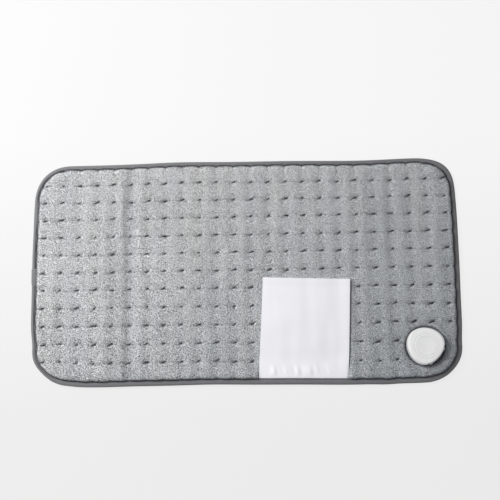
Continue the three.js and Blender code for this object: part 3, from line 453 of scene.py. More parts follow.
def plush_height(x, y):
    _, _, depth = outward(x, y, PLUSH_INSET)
    pit, _, dimple, _, _ = tuft_marks(x, y)
    along_row, along_column = line_marks(x, y)
    drop = PIT_DEPTH * pit + DIMPLE_DEPTH * dimple + ROW_GROOVE * along_row + COLUMN_GROOVE * along_column
    drop = drop + folds(x, y)
    for table in PLUSH_SWELLS:
        drop = drop - swell(x, y, table)
    field = CROWN - RELIEF * np.tanh(drop / RELIEF)
    ends, top, bottom, beside_rows, beside_columns = edge_phase(x, y)
    column_notch = bell(beside_columns * COLUMN_PITCH / math.pi / NOTCH_BROAD)
    row_notch = bell(beside_rows * ROW_PITCH / math.pi / NOTCH_BROAD)
    notch = (top + NOTCH_LESS_SHARE * bottom) * column_notch + NOTCH_LESS_SHARE * ends * row_notch
    field = field - NOTCH_DEPTH * notch * np.exp(-np.maximum(depth, 0) / NOTCH_RUN)
    height = PLUSH_LIP + (field - PLUSH_LIP) * roll(depth / EDGE_PUFF)
    # The label presses the pile down
    across, along = label_shares(x, y)
    under = ease((0.5 + PRESS_BESIDE_SHARE - np.abs(across - 0.5)) * PRESS_STEEP)
    under = under * ease((1 + PRESS_BEYOND_SHARE - along) * PRESS_STEEP)
    run = y - LABEL_NEAR[0][1]
    pressed = label_floor(run) - LABEL_CLEARANCE - SEAM_CLEARANCE * (1 - ease(run / SEAM_CLEAR_RUN))
    height = height - under * np.maximum(height - pressed, 0)
    # The puck holds it down
    out = dish_distance(x, y)
    rise = roll((out + DISH_LAP) / DISH_RISE)
    floor = DISH_FLOOR + np.maximum(swell(x, y, DISH_SWELL), 0) * (out > -DISH_LAP - DISH_SWELL_INSET)
    ground = np.where(np.hypot(*puck_frame(x, y)) < PUCK_RADIUS + PUCK_CLEARANCE, DISH_FLOOR, floor)
    return np.maximum(ground + (height - ground) * rise, LEAST_HEIGHT)


def edge_shift(x, y):
    """How far the plush's edge comes out over the binding beside a place."""
    ends, top, bottom, beside_rows, beside_columns = edge_phase(x, y)
    beside_rows, beside_columns = (phase ** SCALLOP_POWER - SCALLOP_MEAN_SHARE
                                   for phase in (beside_rows, beside_columns))
    shift = (SCALLOP_TOP * top + SCALLOP_BOTTOM * bottom) * beside_columns
    return shift + SCALLOP_SIDE * ends * beside_rows


def plush_place(x, y):
    """Where a point of the plush's pattern lies, before the pad is laid down."""
    nx, ny, depth = outward(x, y, PLUSH_INSET)
    shift = (edge_shift(x, y) + swell(x, y, EDGE_SWELL)) * (1 - ease(depth / EDGE_RUN))
    return x + nx * shift, y + ny * shift, plush_height(x, y)


# Meshes

def mesh_piece(name, points, faces, smooth=True):
    """An object from points in millimetres."""
    mesh = bpy.data.meshes.new(name)
    mesh.from_pydata((np.asarray(points) * MM).tolist(), [], faces)
    mesh.validate()
    if smooth:
        mesh.shade_smooth()
    return new_object(name, mesh)


def plain_mesh(obj):
    """The mesh that an object's modifiers make of it."""
    depsgraph = bpy.context.evaluated_depsgraph_get()
    return bpy.data.meshes.new_from_object(obj.evaluated_get(depsgraph), depsgraph=depsgraph)


def xyz(x, y, z):
    """Points from their three parts, each of which may be one number for all."""
    return np.stack(np.broadcast_arrays(x, y, z), -1)


def grid_quads(index, wrap=(), turned=False):
    """The quads of a grid of points, which closes on itself along the axes in wrap."""
    for axis in wrap:
        index = np.concatenate([index, np.take(index, [0], axis)], axis)
    quads = np.stack([index[:-1, :-1], index[1:, :-1], index[1:, 1:], index[:-1, 1:]], -1).reshape(-1, 4)
    return quads[:, [0, 3, 2, 1]] if turned else quads


def put_right(obj, merge=0.0, sharp=None):
    """Merges doubles where asked, and turns the faces of a closed mesh outwards."""
    mesh = bmesh.new()
    mesh.from_mesh(obj.data)
    if merge:
        bmesh.ops.remove_doubles(mesh, verts=mesh.verts, dist=merge * MM)
        bmesh.ops.dissolve_degenerate(mesh, edges=mesh.edges, dist=merge * MM)
    bmesh.ops.recalc_face_normals(mesh, faces=mesh.faces)
    mesh.to_mesh(obj.data)
    mesh.free()
    if sharp is not None:
        obj.data.shade_smooth()
        obj.data.set_sharp_from_angle(angle=math.radians(sharp))
    return obj


LINE_SAMPLES = 40001
FINE_RUN = 4  # how many fine steps go beside each line of tufts, and to the coarse ones beyond
END_STEP, END_GROWTH_SHARE = 0.3, 0.16


def graded_lines(half, pitch, first, fine, coarse):
    """Lines from -half to half, close together beside each line of tufts and at the ends."""
    place = np.linspace(-half, half, LINE_SAMPLES)
    beside = np.abs(from_line(place, first, pitch))
    step = fine + (coarse - fine) * ease((beside - FINE_RUN * fine) / (FINE_RUN * fine))
    step = np.minimum(step, END_STEP + END_GROWTH_SHARE * (half - np.abs(place)))
    count = np.concatenate(([0], np.cumsum(np.diff(place) * 2 / (step[1:] + step[:-1]))))
    whole = int(math.ceil(count[-1]))
    return np.interp(np.linspace(0, count[-1], whole + 1), count, place)


def round_corners(x, y, half_x, half_y, radius):
    """Draws the corners of a grid in, so that its edge follows the rounded rectangle."""
    u = (np.abs(x) - (half_x - radius)) / radius
    v = (np.abs(y) - (half_y - radius)) / radius
    corner = (u > 0) & (v > 0)
    new_x = np.where(corner, half_x - radius + radius * u * np.sqrt(np.maximum(1 - v * v / 2, 0)), np.abs(x))
    new_y = np.where(corner, half_y - radius + radius * v * np.sqrt(np.maximum(1 - u * u / 2, 0)), np.abs(y))
    return np.sign(x) * new_x, np.sign(y) * new_y


def open_loops(faces, count):
    """The loops of directed edges that only one quad has."""
    start = faces.ravel()
    end = np.roll(faces, -1, axis=1).ravel()
    alone = ~np.isin(start * count + end, end * count + start)
    following = dict(zip(start[alone].tolist(), end[alone].tolist()))
    loops = []
    while following:
        first, at = following.popitem()
        loop = [first]
        while at != first:
            loop.append(at)
            at = following.pop(at)
        loops.append(loop)
    return sorted(loops, key=len, reverse=True)


HOLE_MARGIN = 0.4


def cover(name, inset, lines, place, rim, well):
    """A closed cover of the pad. Its surface lies on a grid, and place gives each point. The rim's
    insets and heights lead round the edge to the flat inner side. The radii and heights that well
    gives do the same at the hole for the puck. It returns the object and the grid's points."""
    gx, gy = np.meshgrid(*lines, indexing="ij")
    gx, gy = round_corners(gx, gy, HALF_LENGTH - inset, HALF_WIDTH - inset, CORNER - inset)
    quads = grid_quads(np.arange(gx.size).reshape(gx.shape))
    x, y = gx.ravel(), gy.ravel()
    radius = np.hypot(*puck_frame(x, y))
    quads = quads[(radius[quads] > HOLE_RADIUS + HOLE_MARGIN).all(1)]
    border, hole = open_loops(quads, x.size)
    u, v = puck_frame(x[hole], y[hole])
    angle = np.arctan2(v, u)
    x[hole], y[hole] = from_puck(HOLE_RADIUS * np.cos(angle), HOLE_RADIUS * np.sin(angle))
    base_x, base_y = x[border], y[border]
    nx, ny, _ = outward(base_x, base_y)
    points, faces = [xyz(*place(x, y))], quads.tolist()
    total = x.size
    ends = []
    for loop, rings in (
        (border, [(base_x - nx * (r - inset), base_y - ny * (r - inset), z) for r, z in rim]),
        (hole, [(*from_puck(r * np.cos(angle), r * np.sin(angle)), z) for r, z in well(angle)]),
    ):
        last = loop
        for ring_points in rings:
            points.append(xyz(*ring_points))
            ring = list(range(total, total + len(loop)))
            total += len(loop)
            faces += [[last[i], last[i - 1], ring[i - 1], ring[i]] for i in range(len(loop))]
            last = ring
        ends.append(last)
    made = mesh_piece(name, lay(np.concatenate(points)), faces)
    mesh = bmesh.new()
    mesh.from_mesh(made.data)
    mesh.verts.ensure_lookup_table()
    edges = [mesh.edges.get((mesh.verts[last[i - 1]], mesh.verts[last[i]]))
             for last in ends for i in range(len(last))]
    for face in bmesh.ops.triangle_fill(mesh, edges=edges, use_beauty=False)["geom"]:
        if isinstance(face, bmesh.types.BMFace):
            face.smooth = True
    bmesh.ops.recalc_face_normals(mesh, faces=mesh.faces)
    mesh.to_mesh(made.data)
    mesh.free()
    return made, x, y


def store(obj, name, kind, values):
    """A named value on the first points of a mesh; the rest get zero."""
    attribute = obj.data.attributes.new(name, kind, "POINT")
    wide = 3 if kind == "FLOAT_VECTOR" else 1
    every = np.zeros((len(obj.data.vertices), wide), np.float32)
    every[: len(values)] = np.asarray(values).reshape(-1, wide)
    attribute.data.foreach_set("vector" if wide == 3 else "value", every.ravel())


def uv_map(obj, places):
    """The piece's weave map, in metres, from a place in millimetres for each point or each corner."""
    loops = obj.data.loops
    if len(places) != len(loops):
        corners = np.empty(len(loops), np.int64)
        loops.foreach_get("vertex_index", corners)
        places = places[corners]
    layer = obj.data.uv_layers.new(name="weave")
    layer.data.foreach_set("uv", (places * MM).astype(np.float32).ravel())


# Node trees

class Nodes:
    """A node tree under construction. An input is set to a value or joined to a socket."""

    def __init__(self, tree):
        self.tree = tree

    def add(self, kind, inputs=None, **settings):
        node = self.tree.nodes.new(kind)
        for key, value in settings.items():
            setattr(node, key, value)
        for key, value in (inputs or {}).items():
            self.put(node.inputs[key], value)
        return node

    def put(self, socket, value):
        if isinstance(value, bpy.types.NodeSocket):
            self.tree.links.new(value, socket)
        elif isinstance(value, bpy.types.Node):
            self.tree.links.new(value.outputs[0], socket)
        else:
            socket.default_value = value

    def math(self, operation, *values):
        return self.add("ShaderNodeMath", dict(enumerate(values)), operation=operation).outputs[0]

    def times(self, value, factor):
        return self.math("MULTIPLY", value, factor)

    def scaled(self, value, factor, plus):
        return self.math("MULTIPLY_ADD", value, factor, plus)

    def vector(self, operation, *values):
        return self.add("ShaderNodeVectorMath", dict(enumerate(values)), operation=operation).outputs[0]

    def mix(self, share, first, second, blend="MIX"):
        return self.add("ShaderNodeMix", {0: share, 6: first, 7: second}, data_type="RGBA",
                        blend_type=blend).outputs[2]

    def tint(self, colour, shade):
        return self.mix(1.0, colour, shade, "MULTIPLY")

    def ramp(self, value, *ends):
        """A value taken from one range, its low and high end, to another, which is 0 to 1 if not said."""
        return self.add("ShaderNodeMapRange", dict(enumerate((value, *ends)))).outputs[0]

    def noise(self, place, scale, detail=2.0, roughness=0.5):
        return self.add("ShaderNodeTexNoise", {"Vector": place, "Scale": scale, "Detail": detail,
                                               "Roughness": roughness}).outputs["Fac"]

    def split(self, vector):
        return self.add("ShaderNodeSeparateXYZ", {0: vector}).outputs

    def joined(self, *parts):
        return self.add("ShaderNodeCombineXYZ", dict(enumerate(parts))).outputs[0]

    def attribute(self, name, output="Fac"):
        return self.add("ShaderNodeAttribute", attribute_name=name).outputs[output]

    def object_place(self):
        return self.add("ShaderNodeTexCoord").outputs["Object"]


def group(name, kind, inputs, outputs):
    """A node group with named sockets, and the sockets of its two end nodes."""
    tree = bpy.data.node_groups.new(name, kind)
    for label, socket, value in inputs:
        made = tree.interface.new_socket(label, in_out="INPUT", socket_type=socket)
        if value is not None:
            made.default_value = value
    for label, socket in outputs:
        tree.interface.new_socket(label, in_out="OUTPUT", socket_type=socket)
    nodes = Nodes(tree)
    return nodes, nodes.add("NodeGroupInput").outputs, nodes.add("NodeGroupOutput").inputs


FLOAT, VECTOR, COLOUR = "NodeSocketFloat", "NodeSocketVector", "NodeSocketColor"
WHITE = (1, 1, 1, 1)

# Plush tones. A range gives its two ends, and then the two values that it is taken to.
BROAD_DETAIL = 3.0
BAND_STRETCH, BAND_SHARE, PATCH_SCALE, WARM_RANGE = (34, 2.5, 1), 0.75, 22.0, (0.38, 0.62)
# Painted shade that darkens the plush towards the puck's corner: how it slants across the pad, and the range
# over which it comes on
FALLOFF_SHADE_SLANT, FALLOFF_SHADE_RANGE = -1.1, (-0.06, 0.45)
SPECK_SCALE, SPECK_DETAIL, SPECK_ROUGHNESS = 740.0, 0.5, 0.6
DARK_RANGE, PALE_RANGE = (0.50, 0.30), (0.52, 0.70)
DARK_SHARE, PALE_SHARE, SPECK_LEVEL = -1.35, 0.40, 0.21
NEARER_SLANT, CONTRAST_RANGE = 0.45, (-0.15, 0.22, 1.35, 0.55)
PLUSH_LEVEL = 0.90


def pile_group():
    """Plush: cool and warm bands across the pad, painted shade that darkens it towards the puck's corner,
    painted shade down towards its tint where the PaintedShade input says, and fine specks, darker and
    paler, which show more towards the near left."""
    n, start, end = group(
        "PlushTone", "ShaderNodeTree",
        [("Vector", VECTOR, None), ("Cool", COLOUR, (*PLUSH_COOL, 1)), ("Warm", COLOUR, (*PLUSH_WARM, 1)),
         ("Shaded", COLOUR, (*PLUSH_SHADED, 1)), ("PaintedShadeTint", COLOUR, (*PAINTED_SHADE_TINT, 1)), ("PaintedShade", FLOAT, 0.0),
         ("Speck", FLOAT, 0.5)],
        [("Color", COLOUR), ("Height", FLOAT)])
    place = start["Vector"]
    bands = n.noise(n.vector("MULTIPLY", place, BAND_STRETCH), 1.0, BROAD_DETAIL)
    patches = n.times(n.noise(place, PATCH_SCALE), 1 - BAND_SHARE)
    warmth = n.math("ADD", n.times(bands, BAND_SHARE), patches)
    colour = n.mix(n.ramp(warmth, *WARM_RANGE), start["Cool"], start["Warm"])
    x, y, _ = n.split(place)
    falloff_shade = n.ramp(n.scaled(y, FALLOFF_SHADE_SLANT, x), *FALLOFF_SHADE_RANGE)
    colour = n.tint(colour, n.mix(falloff_shade, WHITE, start["Shaded"]))
    colour = n.tint(colour, n.mix(start["PaintedShade"], WHITE, start["PaintedShadeTint"]))
    fine = n.noise(place, SPECK_SCALE, SPECK_DETAIL, SPECK_ROUGHNESS)
    speck = n.scaled(n.ramp(fine, *DARK_RANGE), DARK_SHARE, SPECK_LEVEL)
    speck = n.scaled(n.ramp(fine, *PALE_RANGE), PALE_SHARE, speck)
    contrast = n.ramp(n.scaled(x, NEARER_SLANT, y), *CONTRAST_RANGE)
    shade = n.scaled(speck, n.times(contrast, start["Speck"]), PLUSH_LEVEL)
    n.put(end["Color"], n.tint(colour, shade))
    n.put(end["Height"], fine)
    return n.tree


# Weave: how much of its height is thread and how much unevenness, and the middle of the two
LIFT_SHARE, UNEVEN_SHARE, LIFT_MEAN_SHARE = 0.8, 0.4, 0.7
UNEVEN_SCALE = 160.0


def weave_group():
    """Plain weave on a map in metres, with threads of a given pitch."""
    n, start, end = group(
        "PlainWeave", "ShaderNodeTree",
        [("Vector", VECTOR, None), ("Pitch", FLOAT, 0.0006), ("Base", COLOUR, (0.5, 0.5, 0.5, 1)),
         ("Contrast", FLOAT, 0.2)],
        [("Color", COLOUR), ("Height", FLOAT)])
    turn = n.math("DIVIDE", math.pi, start["Pitch"])
    x, y, _ = n.split(start["Vector"])
    warp, weft = (n.math("SINE", n.times(way, turn)) for way in (x, y))
    over = n.math("GREATER_THAN", n.times(warp, weft), 0.0)
    warp, weft = n.math("ABSOLUTE", warp), n.math("ABSOLUTE", weft)
    lifted = n.math("MAXIMUM", n.times(warp, n.scaled(over, 0.5, 0.5)),
                    n.times(weft, n.scaled(over, -0.5, 1.0)))
    uneven = n.times(n.noise(start["Vector"], UNEVEN_SCALE, BROAD_DETAIL), UNEVEN_SHARE)
    height = n.math("ADD", n.times(lifted, LIFT_SHARE), uneven)
    shade = n.scaled(n.math("SUBTRACT", height, LIFT_MEAN_SHARE), start["Contrast"], 1.0)
    n.put(end["Color"], n.tint(start["Base"], shade))
    n.put(end["Height"], height)
    return n.tree


# Moulded plastic: how much its colour varies with the grain and the flow, and its roughness with the flow
GRAIN_SHARE, FLOW_SHARE, FLOW_LEAST_SHARE, FLOW_SCALE, FLOW_ROUGHNESS = 0.02, 0.03, 0.975, 60.0, 0.14
FINE_GRAIN = 4200.0


def grain_group():
    """Moulded plastic: fine spark grain, faint flow and a breath of dust."""
    n, start, end = group(
        "MouldGrain", "ShaderNodeTree",
        [("Vector", VECTOR, None), ("Base", COLOUR, (0.5, 0.5, 0.5, 1)), ("Grain", FLOAT, FINE_GRAIN),
         ("Roughness", FLOAT, 0.4)],
        [("Color", COLOUR), ("Roughness", FLOAT), ("Height", FLOAT)])
    grain = n.noise(start["Vector"], start["Grain"])
    flow = n.noise(start["Vector"], FLOW_SCALE, BROAD_DETAIL)
    shade = n.math("ADD", n.times(grain, GRAIN_SHARE), n.scaled(flow, FLOW_SHARE, FLOW_LEAST_SHARE))
    rough = n.scaled(flow, FLOW_ROUGHNESS, -FLOW_ROUGHNESS / 2)
    n.put(end["Color"], n.tint(start["Base"], shade))
    n.put(end["Roughness"], n.math("ADD", start["Roughness"], rough))
    n.put(end["Height"], grain)
    return n.tree


PLUSH_TONE, WEAVE, GRAIN = pile_group(), weave_group(), grain_group()


def material(name, colour, roughness, **own):
    """A material with a Principled shader whose all-over values sit on its own sockets."""
    made = bpy.data.materials.new(name)
    made.use_nodes = True
    made.diffuse_color = (*colour, 1)
    shader = made.node_tree.nodes["Principled BSDF"]
    for label, value in {"Base_Color": (*colour, 1), "Roughness": roughness, **own}.items():
        shader.inputs[label.replace("_", " ")].default_value = value
    return made, Nodes(made.node_tree), shader


def with_effect(name, colour, roughness, tree, values, relief, mapped=None, **own):
    """A material with an effect laid on the object's own places, or on the map that is named. What
    the effect puts out is joined to the shader. The relief is its strength and its depth."""
    made, nodes, shader = material(name, colour, roughness, **own)
    place = nodes.add("ShaderNodeUVMap", uv_map=mapped).outputs[0] if mapped else nodes.object_place()
    effect = nodes.add("ShaderNodeGroup", {"Vector": place, **values}, node_tree=tree).outputs
    nodes.put(shader.inputs["Base Color"], effect["Color"])
    if "Roughness" in effect:
        nodes.put(shader.inputs["Roughness"], effect["Roughness"])
    strength, depth = relief
    bumped = nodes.add("ShaderNodeBump", {"Strength": strength, "Distance": depth * MM,
                                          "Height": effect["Height"]})
    nodes.put(shader.inputs["Normal"], bumped)
    return made, nodes, shader, effect["Color"]


GRAIN_RELIEF, STREAK_RELIEF, PILE_RELIEF = (0.35, 0.02), (0.2, 0.01), (0.8, 0.5)
# How dark the painted shade on the shell's rounded sides makes them
SIDE_SHADE = 0.78
STREAKS = 1500.0


def plastic(name, colour, roughness, grain=FINE_GRAIN, relief=GRAIN_RELIEF, painted_side_shade=None, **own):
    """Moulded plastic, whose sides may be painted darker than its face, as painted shade against the
    highlight on them: painted_side_shade gives the two radii from the puck's axis between which that comes
    on."""
    values = {"Base": (*colour, 1), "Grain": grain, "Roughness": roughness}
    made, nodes, shader, tone = with_effect(name, colour, roughness, GRAIN, values, relief, **own)
    if painted_side_shade:
        beside = nodes.vector("SUBTRACT", nodes.object_place(), (PUCK_X * MM, PUCK_Y * MM, 0))
        beside = nodes.vector("MULTIPLY", beside, (1, 1, 0))
        radius = nodes.add("ShaderNodeVectorMath", {0: beside}, operation="LENGTH").outputs[1]
        shade = nodes.ramp(radius, painted_side_shade[0] * MM, painted_side_shade[1] * MM, 1.0, SIDE_SHADE)
        nodes.put(shader.inputs["Base Color"], nodes.tint(tone, shade))
    return made


def metal(name, colour, roughness):
    return plastic(name, colour, roughness, STREAKS, STREAK_RELIEF, Metallic=1.0)


CLOTH_ROUGHNESS = 0.85


def cloth(name, colour, pitch, contrast, *relief, mapped="weave", shifted=None):
    """Woven cloth, which takes on another colour where its piece's painted_shade_and_light attribute
    says: painted shade on the binding tape and painted light on the label's end by its seam.
    """
    values = {"Base": (*colour, 1), "Pitch": pitch * MM, "Contrast": contrast}
    made, nodes, shader, tone = with_effect(name, colour, CLOTH_ROUGHNESS, WEAVE, values, relief, mapped)
    if shifted:
        nodes.put(shader.inputs["Base Color"], nodes.mix(nodes.attribute("painted_shade_and_light"), tone, (*shifted, 1)))
    return made


GROUND_SHARE = 4.0  # how much more the pile takes light as its ground does than as its own faces do
PLUSH_ROUGHNESS, SHEEN = 0.9, {"Sheen_Weight": 0.06, "Sheen_Roughness": 0.5}
LOCK_LEAST_SHARE, LOCK_SPREAD_SHARE = 0.65, 0.7


def pile_material(name, speck, tip):
    """The plush ground, or its pile, whose locks vary and take light as the ground under them does."""
    made, nodes, shader, tone = with_effect(name, PLUSH_COOL, PLUSH_ROUGHNESS, PLUSH_TONE,
                                            {"Speck": speck}, PILE_RELIEF, **SHEEN)
    # hollow is the painted shade stored on the plush, which takes ground and pile towards the painted shade
    # tint
    nodes.put(tone.node.inputs["PaintedShade"], nodes.attribute("hollow"))
    if tip:
        shade = nodes.scaled(nodes.attribute("lock_tone"), LOCK_SPREAD_SHARE, LOCK_LEAST_SHARE)
        nodes.put(shader.inputs["Base Color"], nodes.tint(tone, shade))
        under = nodes.attribute("ground_normal", "Vector")
        own = nodes.add("ShaderNodeNewGeometry").outputs["Normal"]
        both = nodes.vector("NORMALIZE", nodes.vector("MULTIPLY_ADD", under, (GROUND_SHARE,) * 3, own))
        nodes.put(shader.inputs["Normal"].links[0].from_node.inputs["Normal"], both)
    return made


# Between these radii from the puck's axis, painted shade darkens the shell's rounded sides
SHELL_SIDE = (PUCK_RADIUS - 3.2, PUCK_RADIUS - 1.3)
MILKY = {"Subsurface_Scale": 0.004, "Subsurface_Radius": (1.0, 0.95, 0.9)}

# Plush has how much its specks show. Cloth has a colour, its threads' pitch, their contrast, and the
# relief's strength and depth. Plastic and metal have a colour and a roughness.
looks = {
    "plush": pile_material("plush_ground", 0.4, False),
    "pile": pile_material("plush_pile", 0.62, True),
    "binding": cloth("binding_tape", BINDING_GREY, 0.9, 0.35, 0.9, 0.25, shifted=TAPE_SHADE_GREY),
    "backing": cloth("knit_backing", (0.37, 0.385, 0.395), 1.3, 0.25, 0.8, 0.3, mapped=None),
    "label": cloth("label_satin", LABEL_WHITE, 0.5, 0.05, 0.35, 0.08, shifted=LABEL_SEAM_PAINTED_WHITE),
    "thread": cloth("sewing_thread", THREAD_GREY, 0.3, 0.4, 0.6, 0.1, mapped=None),
    "shell": plastic("shell_plastic", SHELL_WHITE, 0.5, painted_side_shade=SHELL_SIDE, Subsurface_Weight=0.2, **MILKY),
    "diffuser": plastic("milky_diffuser", RING_WHITE, 0.3, Subsurface_Weight=0.15, **MILKY),
    "dark_plastic": plastic("dark_plastic", (0.03, 0.03, 0.032), 0.5),
    "board": plastic("solder_mask", (0.03, 0.15, 0.07), 0.4, grain=900.0),
    "wire": plastic("silicone_wire", (0.70, 0.65, 0.58), 0.55),
    "felt": cloth("white_felt", (0.80, 0.79, 0.76), 2.1, 0.2, 0.8, 0.3, mapped=None),
    "steel": metal("plated_steel", (0.62, 0.63, 0.65), 0.3),
    "contact": metal("brass_strip", (0.60, 0.43, 0.16), 0.35),
}


def dress(obj, look):
    obj.data.materials.clear()
    obj.data.materials.append(looks[look])
    return obj


# Plush top

PLUSH_COLUMN_STEPS, PLUSH_ROW_STEPS = (0.9, 1.9), (0.75, 1.9)  # a fine and a coarse step of each
PLUSH_RIM = ((BINDING_WIDTH, BINDING_TOP + 0.05), (BINDING_WIDTH + 0.4, 3.7), (FOLD_REACH, 3.7),
             (FOLD_REACH, 2.7), (BINDING_WIDTH + 0.6, 2.7), (BINDING_WIDTH + 4.8, INNER_FLOOR))
SEAM_BARE, SEAM_HALF_SHARE = 5, 0.52  # no pile stands this near the label's seam
PUCK_BARE = 1.2
CLEAR_STRENGTH = 1.5
# How much of the pile's length is cut or left at each kind of place, and the run to its full length
BARE_CUT_SHARE, LABEL_CUT_SHARE = 0.6, 0.5
DISH_PILE_SHARE, DISH_PILE_RUN = 0.45, 6
EDGE_PILE_SHARE, EDGE_PILE_RUN = 0.6, 4
# The nap lies over to the lower right, swings about, and turns outwards over the pad's edge
NAP_X, NAP_Y, NAP_SWING_SHARE = 0.5, -0.45, 0.4
NAP_SWELLS = ((0.55, 26, 90, 21), (0.35, 11, 14, 22))
NAP_TURN, NAP_TURN_RUN = 0.9, 5
# Breadths of painted shade: the dark line along the plush's edge, the dark line beside the puck, how far to
# its right that reaches, and the broad painted shadow round the puck
EDGE_LINE, PUCK_LINE, PUCK_LEE, PUCK_HALO = 1.7, 1.9, 2.6, 14
# Painted shade: how much darker the pile is painted at each kind of place. ROW_SHADE is partly the
# stitching along a row and partly painted shade in its groove; FOLD_SHADE also paints ridges lighter,
# and LIT_SHADE is a painted highlight on a pit's lower side
PLAIN_LIGHT = 0.95
BARE_SHADE, DIMPLE_SHADE, ROW_SHADE, COLUMN_SHADE = 1.08, 0.11, 0.30, 0.05
EDGE_SHADE, FOLD_SHADE, PUCK_SHADE, LIT_SHADE = 0.92, 0.13, 0.95, 0.06
HALO_SHADE, LABEL_SHADE = 0.19, 0.45
LABEL_PRESS = 2.2  # how far beside the label the pile is pressed down
LABEL_LINE_SHARE = 1.6  # of that, to the far side of the painted shadow line along it


def plush_top():
    lines = (graded_lines(HALF_LENGTH - PLUSH_INSET, COLUMN_PITCH, FIRST_COLUMN, *PLUSH_COLUMN_STEPS),
             graded_lines(HALF_WIDTH - PLUSH_INSET, ROW_PITCH, FIRST_ROW, *PLUSH_ROW_STEPS))

    def well(angle):
        return ((HOLE_RADIUS, DISH_UNDERSIDE), (dish_ring(angle, 0.0), DISH_UNDERSIDE),
                (dish_ring(angle, DISH_SLOPE), INNER_FLOOR))

    made, x, y = cover("plush_top", PLUSH_INSET, lines, plush_place, PLUSH_RIM, well)
    _, bare, dimple, lit, clear = tuft_marks(x, y)
    along_row, along_column = line_marks(x, y)
    nx, ny, depth = outward(x, y, PLUSH_INSET)
    across, along = label_shares(x, y)
    beyond = LABEL_PRESS / LABEL_SPAN
    off_middle = np.abs(across - 0.5)
    labelled = (off_middle < 0.5 + beyond) & (along < 1 + beyond) & (along > 0)
    seam = (off_middle < SEAM_HALF_SHARE) & (y < LABEL_NEAR[0][1] + SEAM_BARE)
    radius = np.hypot(*puck_frame(x, y))
    thick = (radius > PUCK_RADIUS + PUCK_BARE) * (1 - ease(CLEAR_STRENGTH * clear)) * ~seam
    long = (1 - BARE_CUT_SHARE * np.minimum(bare, 1)) * np.where(labelled, LABEL_CUT_SHARE, 1.0)
    long = long * fade(DISH_PILE_SHARE, dish_distance(x, y) / DISH_PILE_RUN)
    long = long * fade(EDGE_PILE_SHARE, depth / EDGE_PILE_RUN)
    swing = sum(swell(x, y, table) for table in NAP_SWELLS)
    turn = NAP_TURN * (1 - ease(depth / NAP_TURN_RUN))
    lean = xyz(NAP_X + swing + nx * turn, NAP_Y + NAP_SWING_SHARE * swing + ny * turn, 0)
    edge_line = bell(np.maximum(depth, 0) / EDGE_LINE)
    # Painted shade beside the puck, which reaches further out to the right, where it is overhung
    from_wall = np.minimum(radius, np.hypot(x - PUCK_X - PUCK_LEE, y - PUCK_Y)) - PUCK_RADIUS
    from_wall = np.maximum(from_wall - PUCK_CLEARANCE, 0)
    # A painted shadow line along the label's right side
    line = (across > 1) * ease((0.5 + LABEL_LINE_SHARE * beyond - off_middle) / beyond) * (along < 1)
    # Painted shade and painted highlight, as the light left at each place: in pits and dimples, along rows
    # and columns, at the edge, in folds and lighter on ridges, round and beside the puck, and along the
    # label's side
    light = (1 - np.minimum(BARE_SHADE * bare, 1)) * (1 - DIMPLE_SHADE * dimple) * (1 - ROW_SHADE * along_row)
    light = light * (1 - COLUMN_SHADE * along_column) * (1 - EDGE_SHADE * edge_line)
    light = light * (1 - FOLD_SHADE * np.tanh(folds(x, y))) * (1 + LIT_SHADE * lit)
    light = light * (1 - HALO_SHADE * bell(from_wall / PUCK_HALO)) * (1 - LABEL_SHADE * line * (along > 0))
    # hollow is how far this painted shade takes the colour towards the painted shade tint
    hollow = 1 - light * PLAIN_LIGHT * (1 - PUCK_SHADE * bell(from_wall / PUCK_LINE))
    store(made, "hollow", "FLOAT", hollow)
    store(made, "pile_cover", "FLOAT", thick)
    store(made, "pile_length", "FLOAT", long)
    store(made, "pile_lean", "FLOAT_VECTOR", lean)
    return dress(made, "plush")


def geometry_group(name, inputs):
    return group(name, "GeometryNodeTree",
                 [("Geometry", "NodeSocketGeometry", None), *inputs,
                  ("Material", "NodeSocketMaterial", None)],
                 [("Geometry", "NodeSocketGeometry")])


def finished_tree(n, start, end, instances, smooth):
    """Ends a tree: instances made real, shading set and the material given."""
    real = n.add("GeometryNodeRealizeInstances", {0: instances})
    shaded = n.add("GeometryNodeSetShadeSmooth", {0: real, "Shade Smooth": smooth})
    n.put(end[0], n.add("GeometryNodeSetMaterial", {0: shaded, "Material": start["Material"]}))
    return n.tree


# Each lock: how far its heading strays, and the least and most of its length and breadth
STRAY_LEAST, STRAY_MOST = (-0.5, -0.5, -0.15), (0.5, 0.5, 0.35)
LOCK_LONG_SHARES, LOCK_BROAD_SHARES = (0.65, 1.25), (0.7, 1.3)
LOCK_SUNK_SHARE = 0.12
LOCK_SIDES = 3
STRAY_SEED, SPIN_SEED, LONG_SEED, BROAD_SEED, TONE_SEED = 3, 4, 5, 6, 7


